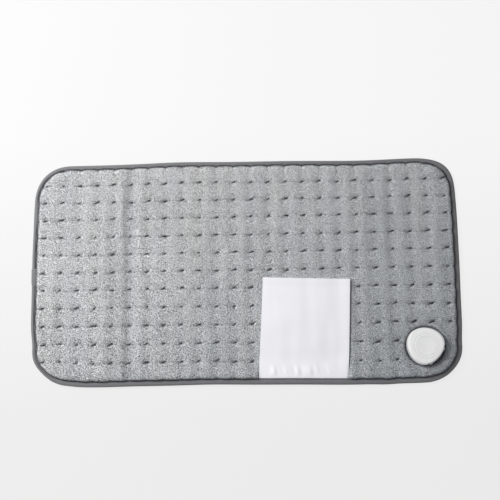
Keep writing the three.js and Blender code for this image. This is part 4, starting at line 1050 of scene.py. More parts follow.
def pile_tree():
    """Small tapered locks of pile, strewn over a surface between two places along X."""
    n, start, end = geometry_group("PilePatch", [
        ("Density", FLOAT, 1.0), ("From", FLOAT, 0.0), ("To", FLOAT, 1.0), ("Length", FLOAT, 1.0),
        ("Breadth", FLOAT, 1.0), ("Seed", "NodeSocketInt", 0)])

    def named(label, kind="FLOAT"):
        return n.add("GeometryNodeInputNamedAttribute", {"Name": label}, data_type=kind).outputs[0]

    def keep(geometry, label, value, kind="FLOAT"):
        return n.add("GeometryNodeStoreNamedAttribute", {0: geometry, "Name": label, "Value": value},
                     data_type=kind, domain="POINT")

    def chance(low, high, seed, kind="FLOAT"):
        at = {"FLOAT_VECTOR": 0, "FLOAT": 2}[kind]
        return n.add("FunctionNodeRandomValue", {at: low, at + 1: high, "Seed": seed},
                     data_type=kind).outputs[at // 2]

    place = n.split(n.add("GeometryNodeInputPosition"))[0]
    inside = n.times(n.math("GREATER_THAN", place, start["From"]), n.math("LESS_THAN", place, start["To"]))
    density = n.times(n.times(start["Density"], named("pile_cover")), inside)
    strewn = n.add("GeometryNodeDistributePointsOnFaces", {
        "Mesh": start["Geometry"], "Density": density, "Seed": start["Seed"]},
        distribute_method="RANDOM").outputs
    heading = n.vector("ADD", strewn["Normal"], named("pile_lean", "FLOAT_VECTOR"))
    heading = n.vector("ADD", heading, chance(STRAY_LEAST, STRAY_MOST, STRAY_SEED, "FLOAT_VECTOR"))
    aligned = n.add("FunctionNodeAlignRotationToVector", {"Vector": heading}, axis="Z")
    spin = n.add("FunctionNodeAxisAngleToRotation", {"Axis": (0, 0, 1),
                                                     "Angle": chance(0.0, math.tau, SPIN_SEED)})
    turned_lock = n.add("FunctionNodeRotateRotation", {0: aligned, 1: spin}, rotation_space="LOCAL")
    length = n.times(chance(*LOCK_LONG_SHARES, LONG_SEED), named("pile_length"))
    length = n.times(length, start["Length"])
    breadth = n.times(chance(*LOCK_BROAD_SHARES, BROAD_SEED), start["Breadth"])
    toned = keep(strewn["Points"], "lock_tone", chance(0.0, 1.0, TONE_SEED))
    toned = keep(toned, "ground_normal", strewn["Normal"], "FLOAT_VECTOR")
    lock = n.add("GeometryNodeMeshCone", {"Vertices": LOCK_SIDES, "Radius Top": 0.0, "Radius Bottom": 1.0,
                                          "Depth": 1.0}, fill_type="NGON")
    sunk = n.add("GeometryNodeTransform", {"Geometry": lock, "Translation": (0, 0, -LOCK_SUNK_SHARE)})
    placed = n.add("GeometryNodeInstanceOnPoints", {
        "Points": toned, "Instance": sunk, "Rotation": turned_lock,
        "Scale": n.joined(breadth, breadth, length)})
    return finished_tree(n, start, end, placed, False)


THREAD_STEPS = 6  # along a stitch, and round it


def stitch_tree():
    """A short bowed length of thread on each point, turned and scaled by the point's own values."""
    n, start, end = geometry_group("Stitches", [
        ("Length", FLOAT, 1.0), ("Rise", FLOAT, 0.0), ("Thread", FLOAT, 1.0)])
    half = n.times(start["Length"], 0.5)
    bow = n.add("GeometryNodeCurveQuadraticBezier", {
        "Resolution": THREAD_STEPS, "Start": n.joined(n.times(half, -1.0)),
        "Middle": n.joined(0, 0, start["Rise"]), "End": n.joined(half)})
    section = n.add("GeometryNodeCurvePrimitiveCircle", {"Resolution": THREAD_STEPS,
                                                         "Radius": start["Thread"]})
    thread = n.add("GeometryNodeCurveToMesh", {0: bow, 1: section, "Fill Caps": True})
    turn = n.add("GeometryNodeInputNamedAttribute", {"Name": "turn"}, data_type="FLOAT_VECTOR")
    reach = n.add("GeometryNodeInputNamedAttribute", {"Name": "reach"}, data_type="FLOAT")
    points = n.add("GeometryNodeMeshToPoints", {0: start["Geometry"]})
    placed = n.add("GeometryNodeInstanceOnPoints", {
        "Points": points, "Instance": thread, "Rotation": n.add("FunctionNodeEulerToRotation", {0: turn}),
        "Scale": n.joined(reach, 1.0, 1.0)})
    return finished_tree(n, start, end, placed, True)


def grown(host, tree, values, name):
    """The plain mesh that a tree makes on a host, as a piece of its own."""
    modifier = host.modifiers.new(tree.name, "NODES")
    modifier.node_group = tree
    for item in tree.interface.items_tree:
        if item.in_out == "INPUT" and item.name in values:
            modifier[item.identifier] = values[item.name]
    mesh = plain_mesh(host)
    host.modifiers.remove(modifier)
    mesh.name = name
    return new_object(name, mesh)


PILE_LENGTH, PILE_BREADTH = 2.2, 0.42
PILE_PATCHES = 4
PILE_LOCKS = 46500


def pile(ground):
    """The plush's pile, in patches side by side."""
    tree = pile_tree()
    area = 4 * (HALF_LENGTH - PLUSH_INSET) * (HALF_WIDTH - PLUSH_INSET) * MM * MM
    edges = np.linspace(-HALF_LENGTH, HALF_LENGTH, PILE_PATCHES + 1) * MM
    return [
        grown(ground, tree, {
            "Density": PILE_LOCKS * PILE_PATCHES / area, "From": float(low), "To": float(high),
            "Length": PILE_LENGTH * MM, "Breadth": PILE_BREADTH * MM, "Seed": i, "Material": looks["pile"],
        }, f"plush_pile_{i + 1}")
        for i, (low, high) in enumerate(zip(edges, edges[1:]))
    ]


STITCHES = stitch_tree()


def stitches(name, points, turns, reaches, length, rise, thread):
    """Stitches on loose points, which carry the turn and the reach of each."""
    host = mesh_piece("points", points, [])
    store(host, "turn", "FLOAT_VECTOR", turns)
    store(host, "reach", "FLOAT", reaches)
    made = grown(host, STITCHES, {"Length": length * MM, "Rise": rise * MM, "Thread": thread * MM,
                                  "Material": looks["thread"]}, name)
    bpy.data.objects.remove(host)
    return made


# Each strand of a tuft: how far beside its middle and along it, and its share of the length
TUFT_STRANDS = ((0.0, 0.0, 1.0), (0.4, 0.8, 0.7))
TUFT_SPLAY = 7
TUFT_LENGTH, TUFT_BOW, TUFT_THREAD = 4.9, 0.7, 0.47
TUFT_REST = 1.8


def tuft_stitches():
    """A small bar of strands down in each pit."""
    sewn = tuft_pull > 0
    tuft, turn, long = (tuft_x[sewn], tuft_y[sewn]), tuft_turn[sewn], tuft_long[sewn]
    rows = []
    for i, (beside, along, share) in enumerate(TUFT_STRANDS):
        x = tuft[0] + along * np.cos(turn) - beside * np.sin(turn)
        y = tuft[1] + along * np.sin(turn) + beside * np.cos(turn)
        splayed = turn + np.radians(TUFT_SPLAY) * (i - 1) * np.where(long > 1, 1, -1)
        rows.append((xyz(*lie(x, y), plush_height(*tuft) + TUFT_REST), xyz(0, 0, splayed), share * long))
    return stitches("tuft_stitches", *(np.concatenate(part) for part in zip(*rows)),
                    TUFT_LENGTH, TUFT_BOW, TUFT_THREAD)


# Binding

BINDING_SECTION = (  # inset and height, round the tape from its lower edge
    (9.0, 0.05), (8.3, 0.0), (6.9, 0.25), (5.4, 0.0), (3.2, 0.0), (1.5, 0.12), (0.55, 0.7), (0.08, 1.6),
    (0.0, 2.5), (0.08, 3.4), (0.55, 4.25), (1.5, 4.85), (3.2, 5.05), (4.6, 5.05), (6.1, 4.95), (6.9, 4.6),
    (7.5, 4.9), (8.3, 5.0), (8.9, 4.95), (9.05, 4.6), (9.0, 4.15), (6.9, 3.95), (4.0, 4.05), (2.2, 3.9),
    (1.2, 3.2), (1.0, 2.5), (1.2, 1.8), (2.2, 1.1), (4.0, 0.95), (6.9, 1.05), (9.0, 0.9),
)
BINDING_STEP = 3.0
RIPPLE_SWELL, RIPPLE_INSET, RIPPLE_HEIGHT = (0.25, 14, 14, 40), 5, 2.5  # beyond that inset and height
PUFF_SWELL, PUFF_HEIGHT = (0.18, 9, 9, 41), 4
TAPE_SHADE_WIDE, TAPE_SHADE_FADE = 1.8, 1.1  # the tape is painted dark, as shade, this near the plush
TAPE_SHADE_FAR, TAPE_SHADE_LEFT = 0.9, 0.5  # and further along the far side and the end away from the puck
TAPE_SHADE_INSET, TAPE_SHADE_HEIGHT = 4, 4.5
LAP_SHADE, LAP_SHADE_LONG, LAP_SHADE_WIDE = 4.0, 6.0, 1.2  # the painted shade reaches further beside the lap, like a small gap
END_LINE_INSET, END_LINE_WIDE, END_LINE_SHADE = 4.6, 0.5, 0.6  # a second line of painted shade along the end away from the puck
END_LINE_CELLS = (9, 30, 44)


def outline(inset, step):
    """Points round the pad's outline at an inset, evenly spaced, with the way out at each."""
    radius = CORNER - inset
    long, wide = HALF_LENGTH - CORNER, HALF_WIDTH - CORNER
    arc = radius * math.pi / 2
    runs = np.array((2 * wide, arc, 2 * long, arc) * 2)
    total = sum(runs)
    count = int(round(total / step))
    starts = np.concatenate(([0], np.cumsum(runs)))
    s = np.arange(count) * total / count
    side = np.searchsorted(starts, s, side="right") - 1
    straight = side % 2 == 0
    heading = (side // 2 + np.where(straight, 0, (s - starts[side]) / arc)) * math.pi / 2
    run = np.where(straight, s - starts[side] - runs[side], 0)
    nx, ny = np.cos(heading), np.sin(heading)
    cx, cy = np.array(((long, wide), (-long, wide), (-long, -wide), (long, -wide)))[side // 2].T
    return cx - ny * run + radius * nx, cy + nx * run + radius * ny, nx, ny, total


def binding():
    x, y, nx, ny, total = outline(0, BINDING_STEP)
    count, wide = len(x), len(BINDING_SECTION)
    points = np.empty((count, wide, 3))
    for k, (inset, height) in enumerate(BINDING_SECTION):
        across = inset + swell(x, y, RIPPLE_SWELL) * (inset > RIPPLE_INSET) * (height > RIPPLE_HEIGHT)
        points[:, k] = xyz(x - nx * across, y - ny * across,
                           height + swell(x, y, PUFF_SWELL) * (height > PUFF_HEIGHT))
    faces = grid_quads(np.arange(count * wide).reshape(count, wide), (0, 1), True)
    made = mesh_piece("binding_tape", lay(points).reshape(-1, 3), faces.tolist())
    # The weave follows the tape: its run along the edge, and its width round the fold
    section = np.array(BINDING_SECTION)
    width = np.cumsum([0, *np.hypot(*np.diff(section, axis=0, append=section[:1]).T)])
    u, v = np.meshgrid(np.arange(count + 1) * total / count, width, indexing="ij")
    u0, u1, v0, v1 = u[:-1, :-1], u[1:, :-1], v[:-1, :-1], v[:-1, 1:]
    corners = [np.stack(corner, -1) for corner in ((u0, v0), (u0, v1), (u1, v1), (u1, v0))]
    uv_map(made, np.stack(corners, 2).reshape(-1, 2))
    put_right(made)
    inset, height = section.T
    # Painted shade on the tape beside the plush, wider along the far side, the end away from the puck and
    # beside the lap, none beside the label's seam, and a second painted line along the end away from the puck
    edge = PLUSH_INSET - edge_shift(x, y)[:, None]
    beside_lap = bell((y - LAP_SHADE) / LAP_SHADE_LONG) * (x < 0)
    dark = TAPE_SHADE_WIDE + TAPE_SHADE_FAR * ny + TAPE_SHADE_LEFT * np.maximum(-nx, 0) + LAP_SHADE_WIDE * beside_lap
    from_label = np.maximum(LABEL_NEAR[0][0] - x, x - LABEL_NEAR[1][0])
    dark = dark - TAPE_SHADE_WIDE * (ny < 0) * (1 - ease(from_label / TAPE_SHADE_FADE))
    painted_shade_and_light = ease((inset - edge + dark[:, None]) / TAPE_SHADE_FADE)
    marked = np.clip(END_LINE_SHADE * (1 + soft_noise(x, y, *END_LINE_CELLS)) * -nx, 0, 1)
    painted_shade_and_light = np.maximum(painted_shade_and_light, bell((inset - END_LINE_INSET) / END_LINE_WIDE) * marked[:, None])
    store(made, "painted_shade_and_light", "FLOAT", (painted_shade_and_light * ((inset > TAPE_SHADE_INSET) & (height > TAPE_SHADE_HEIGHT))).ravel())
    return dress(made, "binding")


LAP_HIGH, LAP_LOW = 8.0, -17.0  # where the tape's two ends lap, along the end away from the puck
LAP_RINGS = 26
LAP_PROUD = 0.7
LAP_FADE, LAP_EDGE_SHARE = 7.0, 0.1
LAP_END, LAP_END_SHARE = 0.5, 0.5  # its upper edge lies closer, by this share over this run
LAP_SHARP, LABEL_SHARP, PUCK_SHARP = 40, 50, 32  # an edge is sharp at this many degrees
LAP_POINTS = slice(5, 20)  # the part of the tape's section that the lap covers
LAP_THIN = 0.15
LAP_FOOT = 1.2  # it is drawn close to the tape this near the floor


def binding_lap():
    """The upper end of the tape, which laps over the lower one and is stitched down."""
    section = np.array(BINDING_SECTION)
    along = np.roll(section, -1, 0) - np.roll(section, 1, 0)
    out = np.stack([along[:, 1], -along[:, 0]], -1) / np.hypot(*along.T)[:, None]
    section, out = section[LAP_POINTS], out[LAP_POINTS]
    out = out * np.sign((out * (section - (BINDING_WIDTH / 2, BINDING_TOP / 2))).sum(-1))[:, None]
    lift = out * ease(section[:, 1] / LAP_FOOT)[:, None]
    rings = []
    for y in np.linspace(LAP_HIGH, LAP_LOW, LAP_RINGS):
        proud = LAP_PROUD * ease((y - LAP_LOW) / LAP_FADE + LAP_EDGE_SHARE)
        proud = proud * (1 - LAP_END_SHARE * ease((y - LAP_HIGH) / LAP_END + 1))
        inset, height = np.concatenate([section + proud * lift, (section - LAP_THIN * out)[::-1]]).T
        rings.append(xyz(inset - HALF_LENGTH, y, height))
    points = lay(np.array(rings))
    index = np.arange(points[..., 0].size).reshape(points.shape[:2])
    faces = grid_quads(index, (1,), True).tolist()
    for ring in (index[0], index[-1]):
        faces += [[ring[i], ring[i + 1], ring[-2 - i], ring[-1 - i]] for i in range(len(ring) // 2 - 1)]
    points = points.reshape(-1, 3)
    made = mesh_piece("binding_lap", points, faces)
    uv_map(made, np.stack([points[:, 1], points[:, 0] + points[:, 2]], -1))
    return dress(put_right(made, sharp=LAP_SHARP), "binding")


STITCH_INSET, STITCH_STEP = 6.9, 3.3
STITCH_LENGTH, STITCH_BOW, STITCH_THREAD = 2.5, 0.25, 0.16
STITCH_TOP, STITCH_UNDER = 4.68, 0.30


def binding_stitches():
    x, y, nx, ny, _ = outline(STITCH_INSET, STITCH_STEP)
    heading = np.arctan2(nx, -ny)
    x, y = lie(x, y)
    points = np.concatenate([xyz(x, y, z) for z in (STITCH_TOP, STITCH_UNDER)])
    turns = np.concatenate([xyz(turn, 0, heading) for turn in (0, math.pi)])
    return stitches("binding_stitches", points, turns, np.ones(len(points)),
                    STITCH_LENGTH, STITCH_BOW, STITCH_THREAD)


# Backing

BACKING_INSET = BINDING_WIDTH + 4
BACKING_COLUMN_STEPS, BACKING_ROW_STEPS = (1.6, 4.0), (1.4, 4.0)
BACKING_RIM = ((BINDING_WIDTH + 0.3, 1.3), (FOLD_REACH, 1.3), (FOLD_REACH, 2.3), (BINDING_WIDTH + 0.3, 2.3),
               (BACKING_INSET, 1.5))
BACKING_WELL = ((HOLE_RADIUS, 3.6), (DISH_RADIUS, 3.6), (DISH_RADIUS + DISH_SLOPE, 1.5))
BACKING_DISH, BACKING_DISH_LAP = 2.3, 1.2  # how high the dish under the puck goes, and where it starts
BACKING_PIT = 0.45


def backing_place(x, y):
    pit = tuft_marks(x, y)[0]
    u = np.hypot(*puck_frame(x, y))
    dish = BACKING_DISH * (1 - ease((u - DISH_RADIUS + BACKING_DISH_LAP) / DISH_SLOPE))
    return x, y, np.maximum(dish, BACKING_PIT * pit)


def backing():
    half_length, half_width = HALF_LENGTH - BACKING_INSET, HALF_WIDTH - BACKING_INSET
    lines = (graded_lines(half_length, COLUMN_PITCH, FIRST_COLUMN, *BACKING_COLUMN_STEPS),
             graded_lines(half_width, ROW_PITCH, FIRST_ROW, *BACKING_ROW_STEPS))
    made, _, _ = cover("knit_backing", BACKING_INSET, lines, backing_place, BACKING_RIM,
                       lambda angle: BACKING_WELL)
    return dress(made, "backing")


# Label

LABEL_STEPS = (96, 110)
LABEL_FOLLOW = 40
LABEL_ROUND = 3.0
PUCKER_HEIGHT, PUCKER_CELLS, PUCKER_SLANT, PUCKER_LEAST_SHARE = 1.1, (5.5, 40, 50), 0.25, -0.2
PUCKER_START, PUCKER_RISE, PUCKER_END, PUCKER_FALL = 1, 9, 9, 16
# Each swell of the label: its height, its cells, and how much calmer it is at the free end
LABEL_HILLS, LABEL_HILL_RUN = ((0.42, (13, 50, 51), 0.4), (0.35, (27, 24, 52), 0)), 45
# Its right side and its free end stand up a little: how far, from which share on and how steeply
SIDE_LIFT, SIDE_FROM_SHARE, SIDE_STEEP, SIDE_RUN = 1.1, 0.86, 7, 30
END_LIFT, END_FROM_SHARE, END_STEEP = 0.6, 0.9, 10


def label():
    shares = (np.linspace(0, 1, steps + 1) for steps in LABEL_STEPS)
    across, along = np.meshgrid(*shares, indexing="ij")
    s, t = across.ravel(), along.ravel()
    x, y = label_place(s, t)
    run = y - LABEL_NEAR[0][1]
    pucker = ease((run - PUCKER_START) / PUCKER_RISE) * (1 - ease((run - PUCKER_END) / PUCKER_FALL))
    wrinkle = np.maximum(soft_noise(x + PUCKER_SLANT * run, run, *PUCKER_CELLS), PUCKER_LEAST_SHARE)
    z = label_floor(run) + PUCKER_HEIGHT * pucker * wrinkle
    for height, cells, calmer in LABEL_HILLS:
        z = z + height * ease(run / LABEL_HILL_RUN) * (1 + soft_noise(x, y, *cells) * (1 - calmer * t))
    z = z + SIDE_LIFT * ease((s - SIDE_FROM_SHARE) * SIDE_STEEP) * ease(run / SIDE_RUN)
    z = z + END_LIFT * ease((t - END_FROM_SHARE) * END_STEEP)
    # Its sewn end follows the binding, which wanders, and its near corner is rounded
    sewn = 1 - ease(run / LABEL_FOLLOW)
    y = y + (lie(x, y)[1] - y) * sewn
    corner = np.maximum(1 - (1 - s) * LABEL_SPAN / LABEL_ROUND, 0)
    y = y + LABEL_ROUND * (1 - np.sqrt(1 - corner ** 2)) * sewn
    count = x.size
    quads = grid_quads(np.arange(count).reshape(across.shape))
    border = open_loops(quads, count)[0]
    walls = [[b, a, a + count, b + count] for a, b in zip(border[-1:] + border, border)]
    faces = quads[:, ::-1].tolist() + (quads + count).tolist() + walls
    points = np.concatenate([xyz(x, y, z), xyz(x, y, z + LABEL_THICKNESS)])
    made = mesh_piece("label_cloth", points, faces)
    uv_map(made, points[:, :2])
    made.data.set_sharp_from_angle(angle=math.radians(LABEL_SHARP))
    put_right(made)
    # Painted light: the label's end by the seam is painted paler
    store(made, "painted_shade_and_light", "FLOAT", np.tile(sewn, 2))
    return dress(made, "label")


# Puck

PUCK_SIDES = 240
CORNER_POWER = 16
FRONT_PROUD = 2.9  # the socket's side swells out until it is nearly flush with the frame
FRONT_BOW = 0.012  # and falls away by this share of the square of the distance from its middle
ROUND_MERGE = 0.0005
POST_SIDES, LEG_SIDES = 28, 16
AROUND = np.arange(PUCK_SIDES) * math.tau / PUCK_SIDES  # the directions from the puck's axis


def puck_radius(inset):
    """The puck's outline drawn in by an inset, as radii round its axis: a round with three soft sides
    and a nearly straight one, whose corners are softened."""
    ahead, beside = np.maximum(np.cos(AROUND), MM), np.sin(AROUND) ** 2 + MM
    front = PUCK_FLAT + FRONT_PROUD - inset
    flat = (np.sqrt(ahead ** 2 + 4 * FRONT_BOW * front * beside) - ahead) / (2 * FRONT_BOW * beside)
    side = PUCK_RADIUS - PUCK_LOBE * np.cos(3 * AROUND) - inset
    return (side ** -CORNER_POWER + flat ** -CORNER_POWER) ** (-1 / CORNER_POWER)


def quarter(steps):
    """Shares across and up along a quarter round."""
    angle = np.linspace(0, 1, steps + 1) * math.pi / 2
    return list(zip(1 - np.cos(angle), np.sin(angle)))


def top_edge(size, steps, radius):
    """A rounded edge at the puck's top, from what gives its radius at an inset."""
    return [(radius(size * a), PUCK_TOP - size * (1 - b)) for a, b in quarter(steps)]


def hard(obj, look, merge=0.0):
    """Puts right and dresses a moulded or turned piece."""
    return dress(put_right(obj, merge=merge, sharp=PUCK_SHARP), look)


def hoop(name, rings, look):
    """A closed band round the puck's axis: each ring is a radius, or radii, and a height."""
    points = np.concatenate([xyz(*from_puck(radius * np.cos(AROUND), radius * np.sin(AROUND)), height)
                             for radius, height in rings])
    faces = grid_quads(np.arange(len(points)).reshape(-1, PUCK_SIDES), (0, 1)).tolist()
    return hard(mesh_piece(name, points, faces), look, ROUND_MERGE)


def joined_with(obj, tool, operation):
    """The body with a tool joined to it or cut from it, as a plain mesh again."""
    modifier = obj.modifiers.new("tool", "BOOLEAN")
    modifier.operation, modifier.solver, modifier.object = operation, "EXACT", tool
    mesh = plain_mesh(obj)
    obj.modifiers.remove(modifier)
    obj.data = mesh
    bpy.data.objects.remove(tool)


def posts(radius, floor, top, circle, angles, sides=POST_SIDES):
    """Upright round posts on a circle round the puck's axis, at angles in degrees."""
    mesh = bmesh.new()
    for angle in map(math.radians, angles):
        x, y = from_puck(circle * math.cos(angle), circle * math.sin(angle))
        place = Matrix.Translation(Vector((x, y, (floor + top) / 2)) * MM)
        bmesh.ops.create_cone(mesh, cap_ends=True, segments=sides, radius1=radius * MM, radius2=radius * MM,
                              depth=(top - floor) * MM, matrix=place)
    data = bpy.data.meshes.new("posts")
    mesh.to_mesh(data)
    mesh.free()
    return new_object("posts", data)


def puck_block(u0, u1, v0, v1, z0, z1):
    """A plain block in the puck's frame, for cutting."""
    corners = [(*from_puck(u, v), z) for z in (z0, z1) for u, v in ((u0, v0), (u1, v0), (u1, v1), (u0, v1))]
    faces = [(3, 2, 1, 0), (4, 5, 6, 7), (0, 1, 5, 4), (1, 2, 6, 5), (2, 3, 7, 6), (3, 0, 4, 7)]
    return mesh_piece("block", corners, faces, smooth=False)


SHELL_WALL, SHELL_ROUND, FOOT_ROUND, ROOF = 2.0, 3.0, 0.8, 2.0
SHELL_STEPS, FOOT_STEPS = 10, 5
WINDOW_RADIUS = 16.5
WINDOW_EDGE = ((0.8, 0), (0.2, 0.02), (0, 0.2))  # beyond the window and below the top, round its edge
BOSS_CIRCLE, BOSS_RADIUS, BOSS_FLOOR = 21.2, 2.9, PUCK_FLOOR + 0.02
PILOT_RADIUS, PILOT_TOP = 1.55, 13.6
BOSS_ANGLES = (-135, -65, 65, 135)
PORT_FLOOR, PORT_TOP, PORT_HALF, PORT_DEPTH = 6.6, 14.0, 10.4, 5
SEAT = 0.3
CUT_PAST = 2  # how far a cutting tool goes beyond what it cuts
NOTCH_RADIUS, NOTCH_CIRCLE = 1.5, PUCK_RADIUS - 0.4
NOTCH_ANGLES = (-40, 41)


def puck_shell():
    foot = [(puck_radius(FOOT_ROUND * (1 - b)), PUCK_FLOOR + FOOT_ROUND * a)
            for a, b in quarter(FOOT_STEPS)]
    crown = top_edge(SHELL_ROUND, SHELL_STEPS, puck_radius)
    edge = [(WINDOW_RADIUS + out, PUCK_TOP - down) for out, down in WINDOW_EDGE]
    roof = PUCK_TOP - ROOF
    rings = [(puck_radius(SHELL_WALL), PUCK_FLOOR), *foot, *crown, *edge, (WINDOW_RADIUS, roof),
             (puck_radius(SHELL_WALL + SHELL_ROUND / 2), roof),
             (puck_radius(SHELL_WALL), roof - SHELL_ROUND / 2)]
    made = hoop("shell_cover", rings, "shell")
    low = PUCK_FLOOR - CUT_PAST
    joined_with(made, posts(BOSS_RADIUS, BOSS_FLOOR, roof + ROOF / 2, BOSS_CIRCLE, BOSS_ANGLES), "UNION")
    cuts = (posts(PILOT_RADIUS, low, PILOT_TOP, BOSS_CIRCLE, BOSS_ANGLES),
            puck_block(PUCK_FLAT - PORT_DEPTH, PUCK_FLAT + FRONT_PROUD + CUT_PAST, -PORT_HALF - SEAT,
                       PORT_HALF + SEAT, PORT_FLOOR - SEAT, PORT_TOP + SEAT),
            posts(NOTCH_RADIUS, low, PUCK_TOP + CUT_PAST, NOTCH_CIRCLE, NOTCH_ANGLES))
    for tool in cuts:
        joined_with(made, tool, "DIFFERENCE")
    return hard(made, "shell")


BUTTON_RADIUS, BUTTON_PLATE, BUTTON_WALL = 13.5, 1.8, 1.4
BUTTON_FLANGE, BUTTON_FLANGE_FLOOR, BUTTON_FLANGE_TOP = 14.4, 15.3, 16.1
BUTTON_DISH, BUTTON_LIP, BUTTON_DISH_STEPS = 0.4, 0.6, 14
BUTTON_EDGE, BUTTON_EDGE_STEPS = 0.2, 5
STEM_RADIUS = 2.2
STEM_FLOOR = packed_box("button_cap")[0][2]


def button():
    plate = PUCK_TOP - BUTTON_PLATE
    inner = BUTTON_RADIUS - BUTTON_WALL
    bowl = BUTTON_RADIUS - BUTTON_LIP
    edge = top_edge(BUTTON_EDGE, BUTTON_EDGE_STEPS, lambda inset: BUTTON_RADIUS - inset)
    hollow = [(bowl * share, PUCK_TOP - BUTTON_DISH * (1 - share ** 2))
              for share in np.linspace(1, 0, BUTTON_DISH_STEPS)]
    rings = [(0, STEM_FLOOR), (STEM_RADIUS, STEM_FLOOR), (STEM_RADIUS, plate), (inner, plate),
             (inner, BUTTON_FLANGE_FLOOR), (BUTTON_FLANGE, BUTTON_FLANGE_FLOOR),
             (BUTTON_FLANGE, BUTTON_FLANGE_TOP), (BUTTON_RADIUS, BUTTON_FLANGE_TOP), *edge, *hollow]
    return hoop("heat_key", rings, "shell")


RING_BORE, RING_RADIUS, RING_FLANGE = 13.64, 16.43, 18.0
RING_FLOOR, RING_SHOULDER = 16.4, 17.2
RING_EDGE, RING_EDGE_STEPS = 0.12, 4
LEG_RADIUS, LEG_CIRCLE, LEG_SUNK = 0.8, 15.55, 0.4
LEG_FLOOR = packed_box("light_ring")[0][2]
LEG_ANGLES = (-125, -80, 80, 125)


def light_ring():
    out = top_edge(RING_EDGE, RING_EDGE_STEPS, lambda inset: RING_RADIUS - inset)
    back = top_edge(RING_EDGE, RING_EDGE_STEPS, lambda inset: RING_BORE + inset)[::-1]
    rings = [(RING_BORE, RING_FLOOR), (RING_FLANGE, RING_FLOOR), (RING_FLANGE, RING_SHOULDER),
             (RING_RADIUS, RING_SHOULDER), *out, *back]
    made = hoop("glow_ring", rings, "diffuser")
    legs = posts(LEG_RADIUS, LEG_FLOOR, RING_FLOOR + LEG_SUNK, LEG_CIRCLE, LEG_ANGLES, LEG_SIDES)
    joined_with(made, legs, "UNION")
    return hard(made, "diffuser")


SPRING_RADIUS, SPRING_WIRE, SPRING_TURNS = 4.6, 0.35, 4
SPRING_STEPS, SPRING_SIDES = 48, 10
spring_low, spring_high = packed_box("return_spring")


def spring():
    """A coil spring, with a closed turn at each end."""
    steps = SPRING_STEPS * (SPRING_TURNS + 2)
    turns = np.linspace(0, 1, steps + 1) * (SPRING_TURNS + 2)
    floor, top = spring_low[2] + SPRING_WIRE, spring_high[2] - SPRING_WIRE
    closed = 2 * SPRING_WIRE
    ends = np.clip(turns, 0, 1) + np.clip(turns - SPRING_TURNS - 1, 0, 1)
    z = floor + closed * ends + (top - floor - 2 * closed) * np.clip((turns - 1) / SPRING_TURNS, 0, 1)
    turn = turns * math.tau
    path = xyz(*from_puck(SPRING_RADIUS * np.cos(turn), SPRING_RADIUS * np.sin(turn)), z)
    out = path - xyz(PUCK_X, PUCK_Y, z)
    out /= np.linalg.norm(out, axis=1, keepdims=True)
    along = np.gradient(path, axis=0)
    along /= np.linalg.norm(along, axis=1, keepdims=True)
    lift = np.cross(along, out)
    around = np.arange(SPRING_SIDES)[None, :, None] * math.tau / SPRING_SIDES
    points = path[:, None] + SPRING_WIRE * (out[:, None] * np.cos(around) + lift[:, None] * np.sin(around))
    index = np.arange((steps + 1) * SPRING_SIDES).reshape(steps + 1, SPRING_SIDES)
    faces = grid_quads(index, (1,), True).tolist()
    faces += [index[0].tolist(), index[-1][::-1].tolist()]
    return dress(put_right(mesh_piece("coil_spring", points.reshape(-1, 3), faces)), "steel")


SOFT_MERGE, SOFT_SEGMENTS = 0.002, 2
SOFT_FLAT, SOFT_ANGLE = 1, 35  # degrees, up to which faces are one flat and from which edges are rounded


def softened(node, name, width, look):
    """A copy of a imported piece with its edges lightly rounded."""
    data = frame["nodes"][node].data.copy()
    made = new_object(name, data)
    mesh = bmesh.new()
    mesh.from_mesh(data)
    bmesh.ops.remove_doubles(mesh, verts=mesh.verts, dist=SOFT_MERGE * MM)
    bmesh.ops.dissolve_limit(mesh, angle_limit=math.radians(SOFT_FLAT), verts=mesh.verts, edges=mesh.edges)
    mesh.to_mesh(data)
    mesh.free()
    modifier = made.modifiers.new("edges", "BEVEL")
    modifier.width, modifier.segments = width * MM, SOFT_SEGMENTS
    modifier.limit_method, modifier.angle_limit = "ANGLE", math.radians(SOFT_ANGLE)
    made.data = plain_mesh(made)
    made.modifiers.clear()
    made.data.name = name
    return hard(made, look)


# Floor and light

FLOOR_HALF = 3.0  # this, the light's measures and the reach are in metres
FLOOR_DROP = 0.2
PAPER, PAPER_ROUGHNESS = (0.86, 0.86, 0.86), 0.9
KEY_PLACE = Vector((-0.95, 0.51, 0.93))
KEY_SIZE, KEY_POWER, SKY = 0.6, 26, 0.38
FLOOR_NEAR, FLOOR_FAR = 0.832, 0.922  # painted light on the floor as the camera sees it, paler beyond the pad than before it
FLOOR_REACH, FLOOR_SHARE = 0.20, 0.92


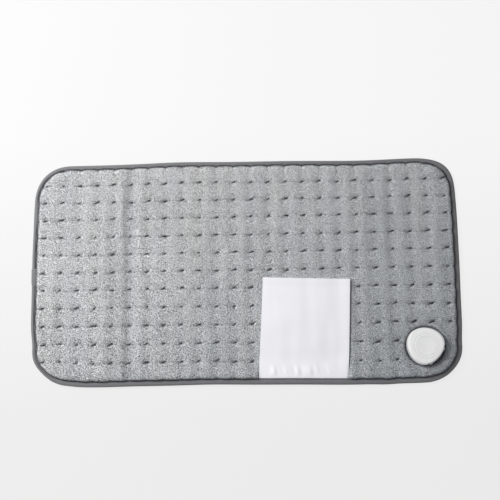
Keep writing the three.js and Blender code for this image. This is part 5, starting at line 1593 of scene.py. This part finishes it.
def studio():
    sky = bpy.data.worlds.new("sky")
    bpy.context.scene.world = sky
    sky.use_nodes = True
    back = sky.node_tree.nodes["Background"]
    back.inputs["Color"].default_value = WHITE
    back.inputs["Strength"].default_value = SKY
    lamp = bpy.data.lights.new("window", "AREA")
    lamp.shape, lamp.size, lamp.energy = "SQUARE", KEY_SIZE, KEY_POWER
    aim = (-KEY_PLACE).to_track_quat("-Z", "Y").to_matrix().to_4x4()
    new_object("window", lamp).matrix_world = Matrix.Translation(KEY_PLACE) @ aim
    half = FLOOR_HALF / MM
    corners = [(a * half, b * half, -FLOOR_DROP) for a, b in ((-1, -1), (1, -1), (1, 1), (-1, 1))]
    floor = mesh_piece("floor", corners, [(0, 1, 2, 3)], smooth=False)
    made, nodes, shader = material("paper", PAPER, PAPER_ROUGHNESS)
    path = nodes.add("ShaderNodeLightPath").outputs
    seen = nodes.math("MAXIMUM", path["Is Camera Ray"], path["Is Glossy Ray"])
    seen = nodes.math("MAXIMUM", seen, path["Is Transmission Ray"])
    # Painted light across the floor, falling off towards the near side
    across = nodes.split(nodes.object_place())[1]
    tone = nodes.ramp(across, -FLOOR_REACH, FLOOR_REACH, FLOOR_NEAR, FLOOR_FAR)
    glow = nodes.add("ShaderNodeEmission", {"Color": tone})
    mixed = nodes.add("ShaderNodeMixShader", {0: nodes.times(seen, FLOOR_SHARE), 1: shader, 2: glow})
    nodes.put(made.node_tree.nodes["Material Output"].inputs["Surface"], mixed)
    floor.data.materials.append(made)
    bpy.context.scene.view_settings.view_transform = "Standard"


# Assembly

def on(body, obj, slot, *nodes):
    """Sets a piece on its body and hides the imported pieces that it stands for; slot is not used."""
    if nodes:
        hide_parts(*nodes)
    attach(obj, body)
    return obj


def numbered(name, count):
    return [f"{name}_{i + 1}" for i in range(count)]


INNER_LOOKS = {
    "felt": ("wadding", "heater_carrier"),
    "wire": ("heating_wire", "return_wire"),
    "dark_plastic": (*numbered("splice_sleeve", 2), *numbered("heater_lead", 2), *numbered("terminal", 2),
                     "switch_body", "switch_plunger", "controller_chip", "power_transistor",
                     "smoothing_capacitor"),
    "board": ("circuit_board",),
    "steel": ("thermal_fuse", *numbered("puck_screw", 4)),
    "diffuser": numbered("indicator_lamp", 4),
    "contact": numbered("socket_contact", 3),
}
BASE_EDGE, FRAME_EDGE, INSERT_EDGE = 0.2, 0.25, 0.15

ground = on("pad", plush_top(), "plush", "upper_cover")
for patch in pile(ground):
    on("pad", patch, "plush")
on("pad", tuft_stitches(), "plush")
on("pad", binding(), "binding", "edge_binding")
on("pad", binding_lap(), "binding")
on("pad", binding_stitches(), "binding")
on("pad", backing(), "backing", "lower_cover")
cloth_label = on("label", label(), "label", "sewn_label")
on("pad", puck_shell(), "shell", "puck_shell")
on("heat_button", button(), "shell", "button_cap")
on("pad", light_ring(), "diffuser", "light_ring")
coil = on("pad", spring(), "steel", "return_spring")
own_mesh(coil)
for node, name, width, look in (
    ("puck_base", "base_plate", BASE_EDGE, "shell"),
    ("port_frame", "socket_frame", FRAME_EDGE, "shell"),
    ("lead_receptacle", "socket_insert", INSERT_EDGE, "dark_plastic"),
):
    on("pad", softened(node, name, width, look), look, node)
for look, names in INNER_LOOKS.items():
    for name in names:
        dress(frame["nodes"][name], look)
studio()
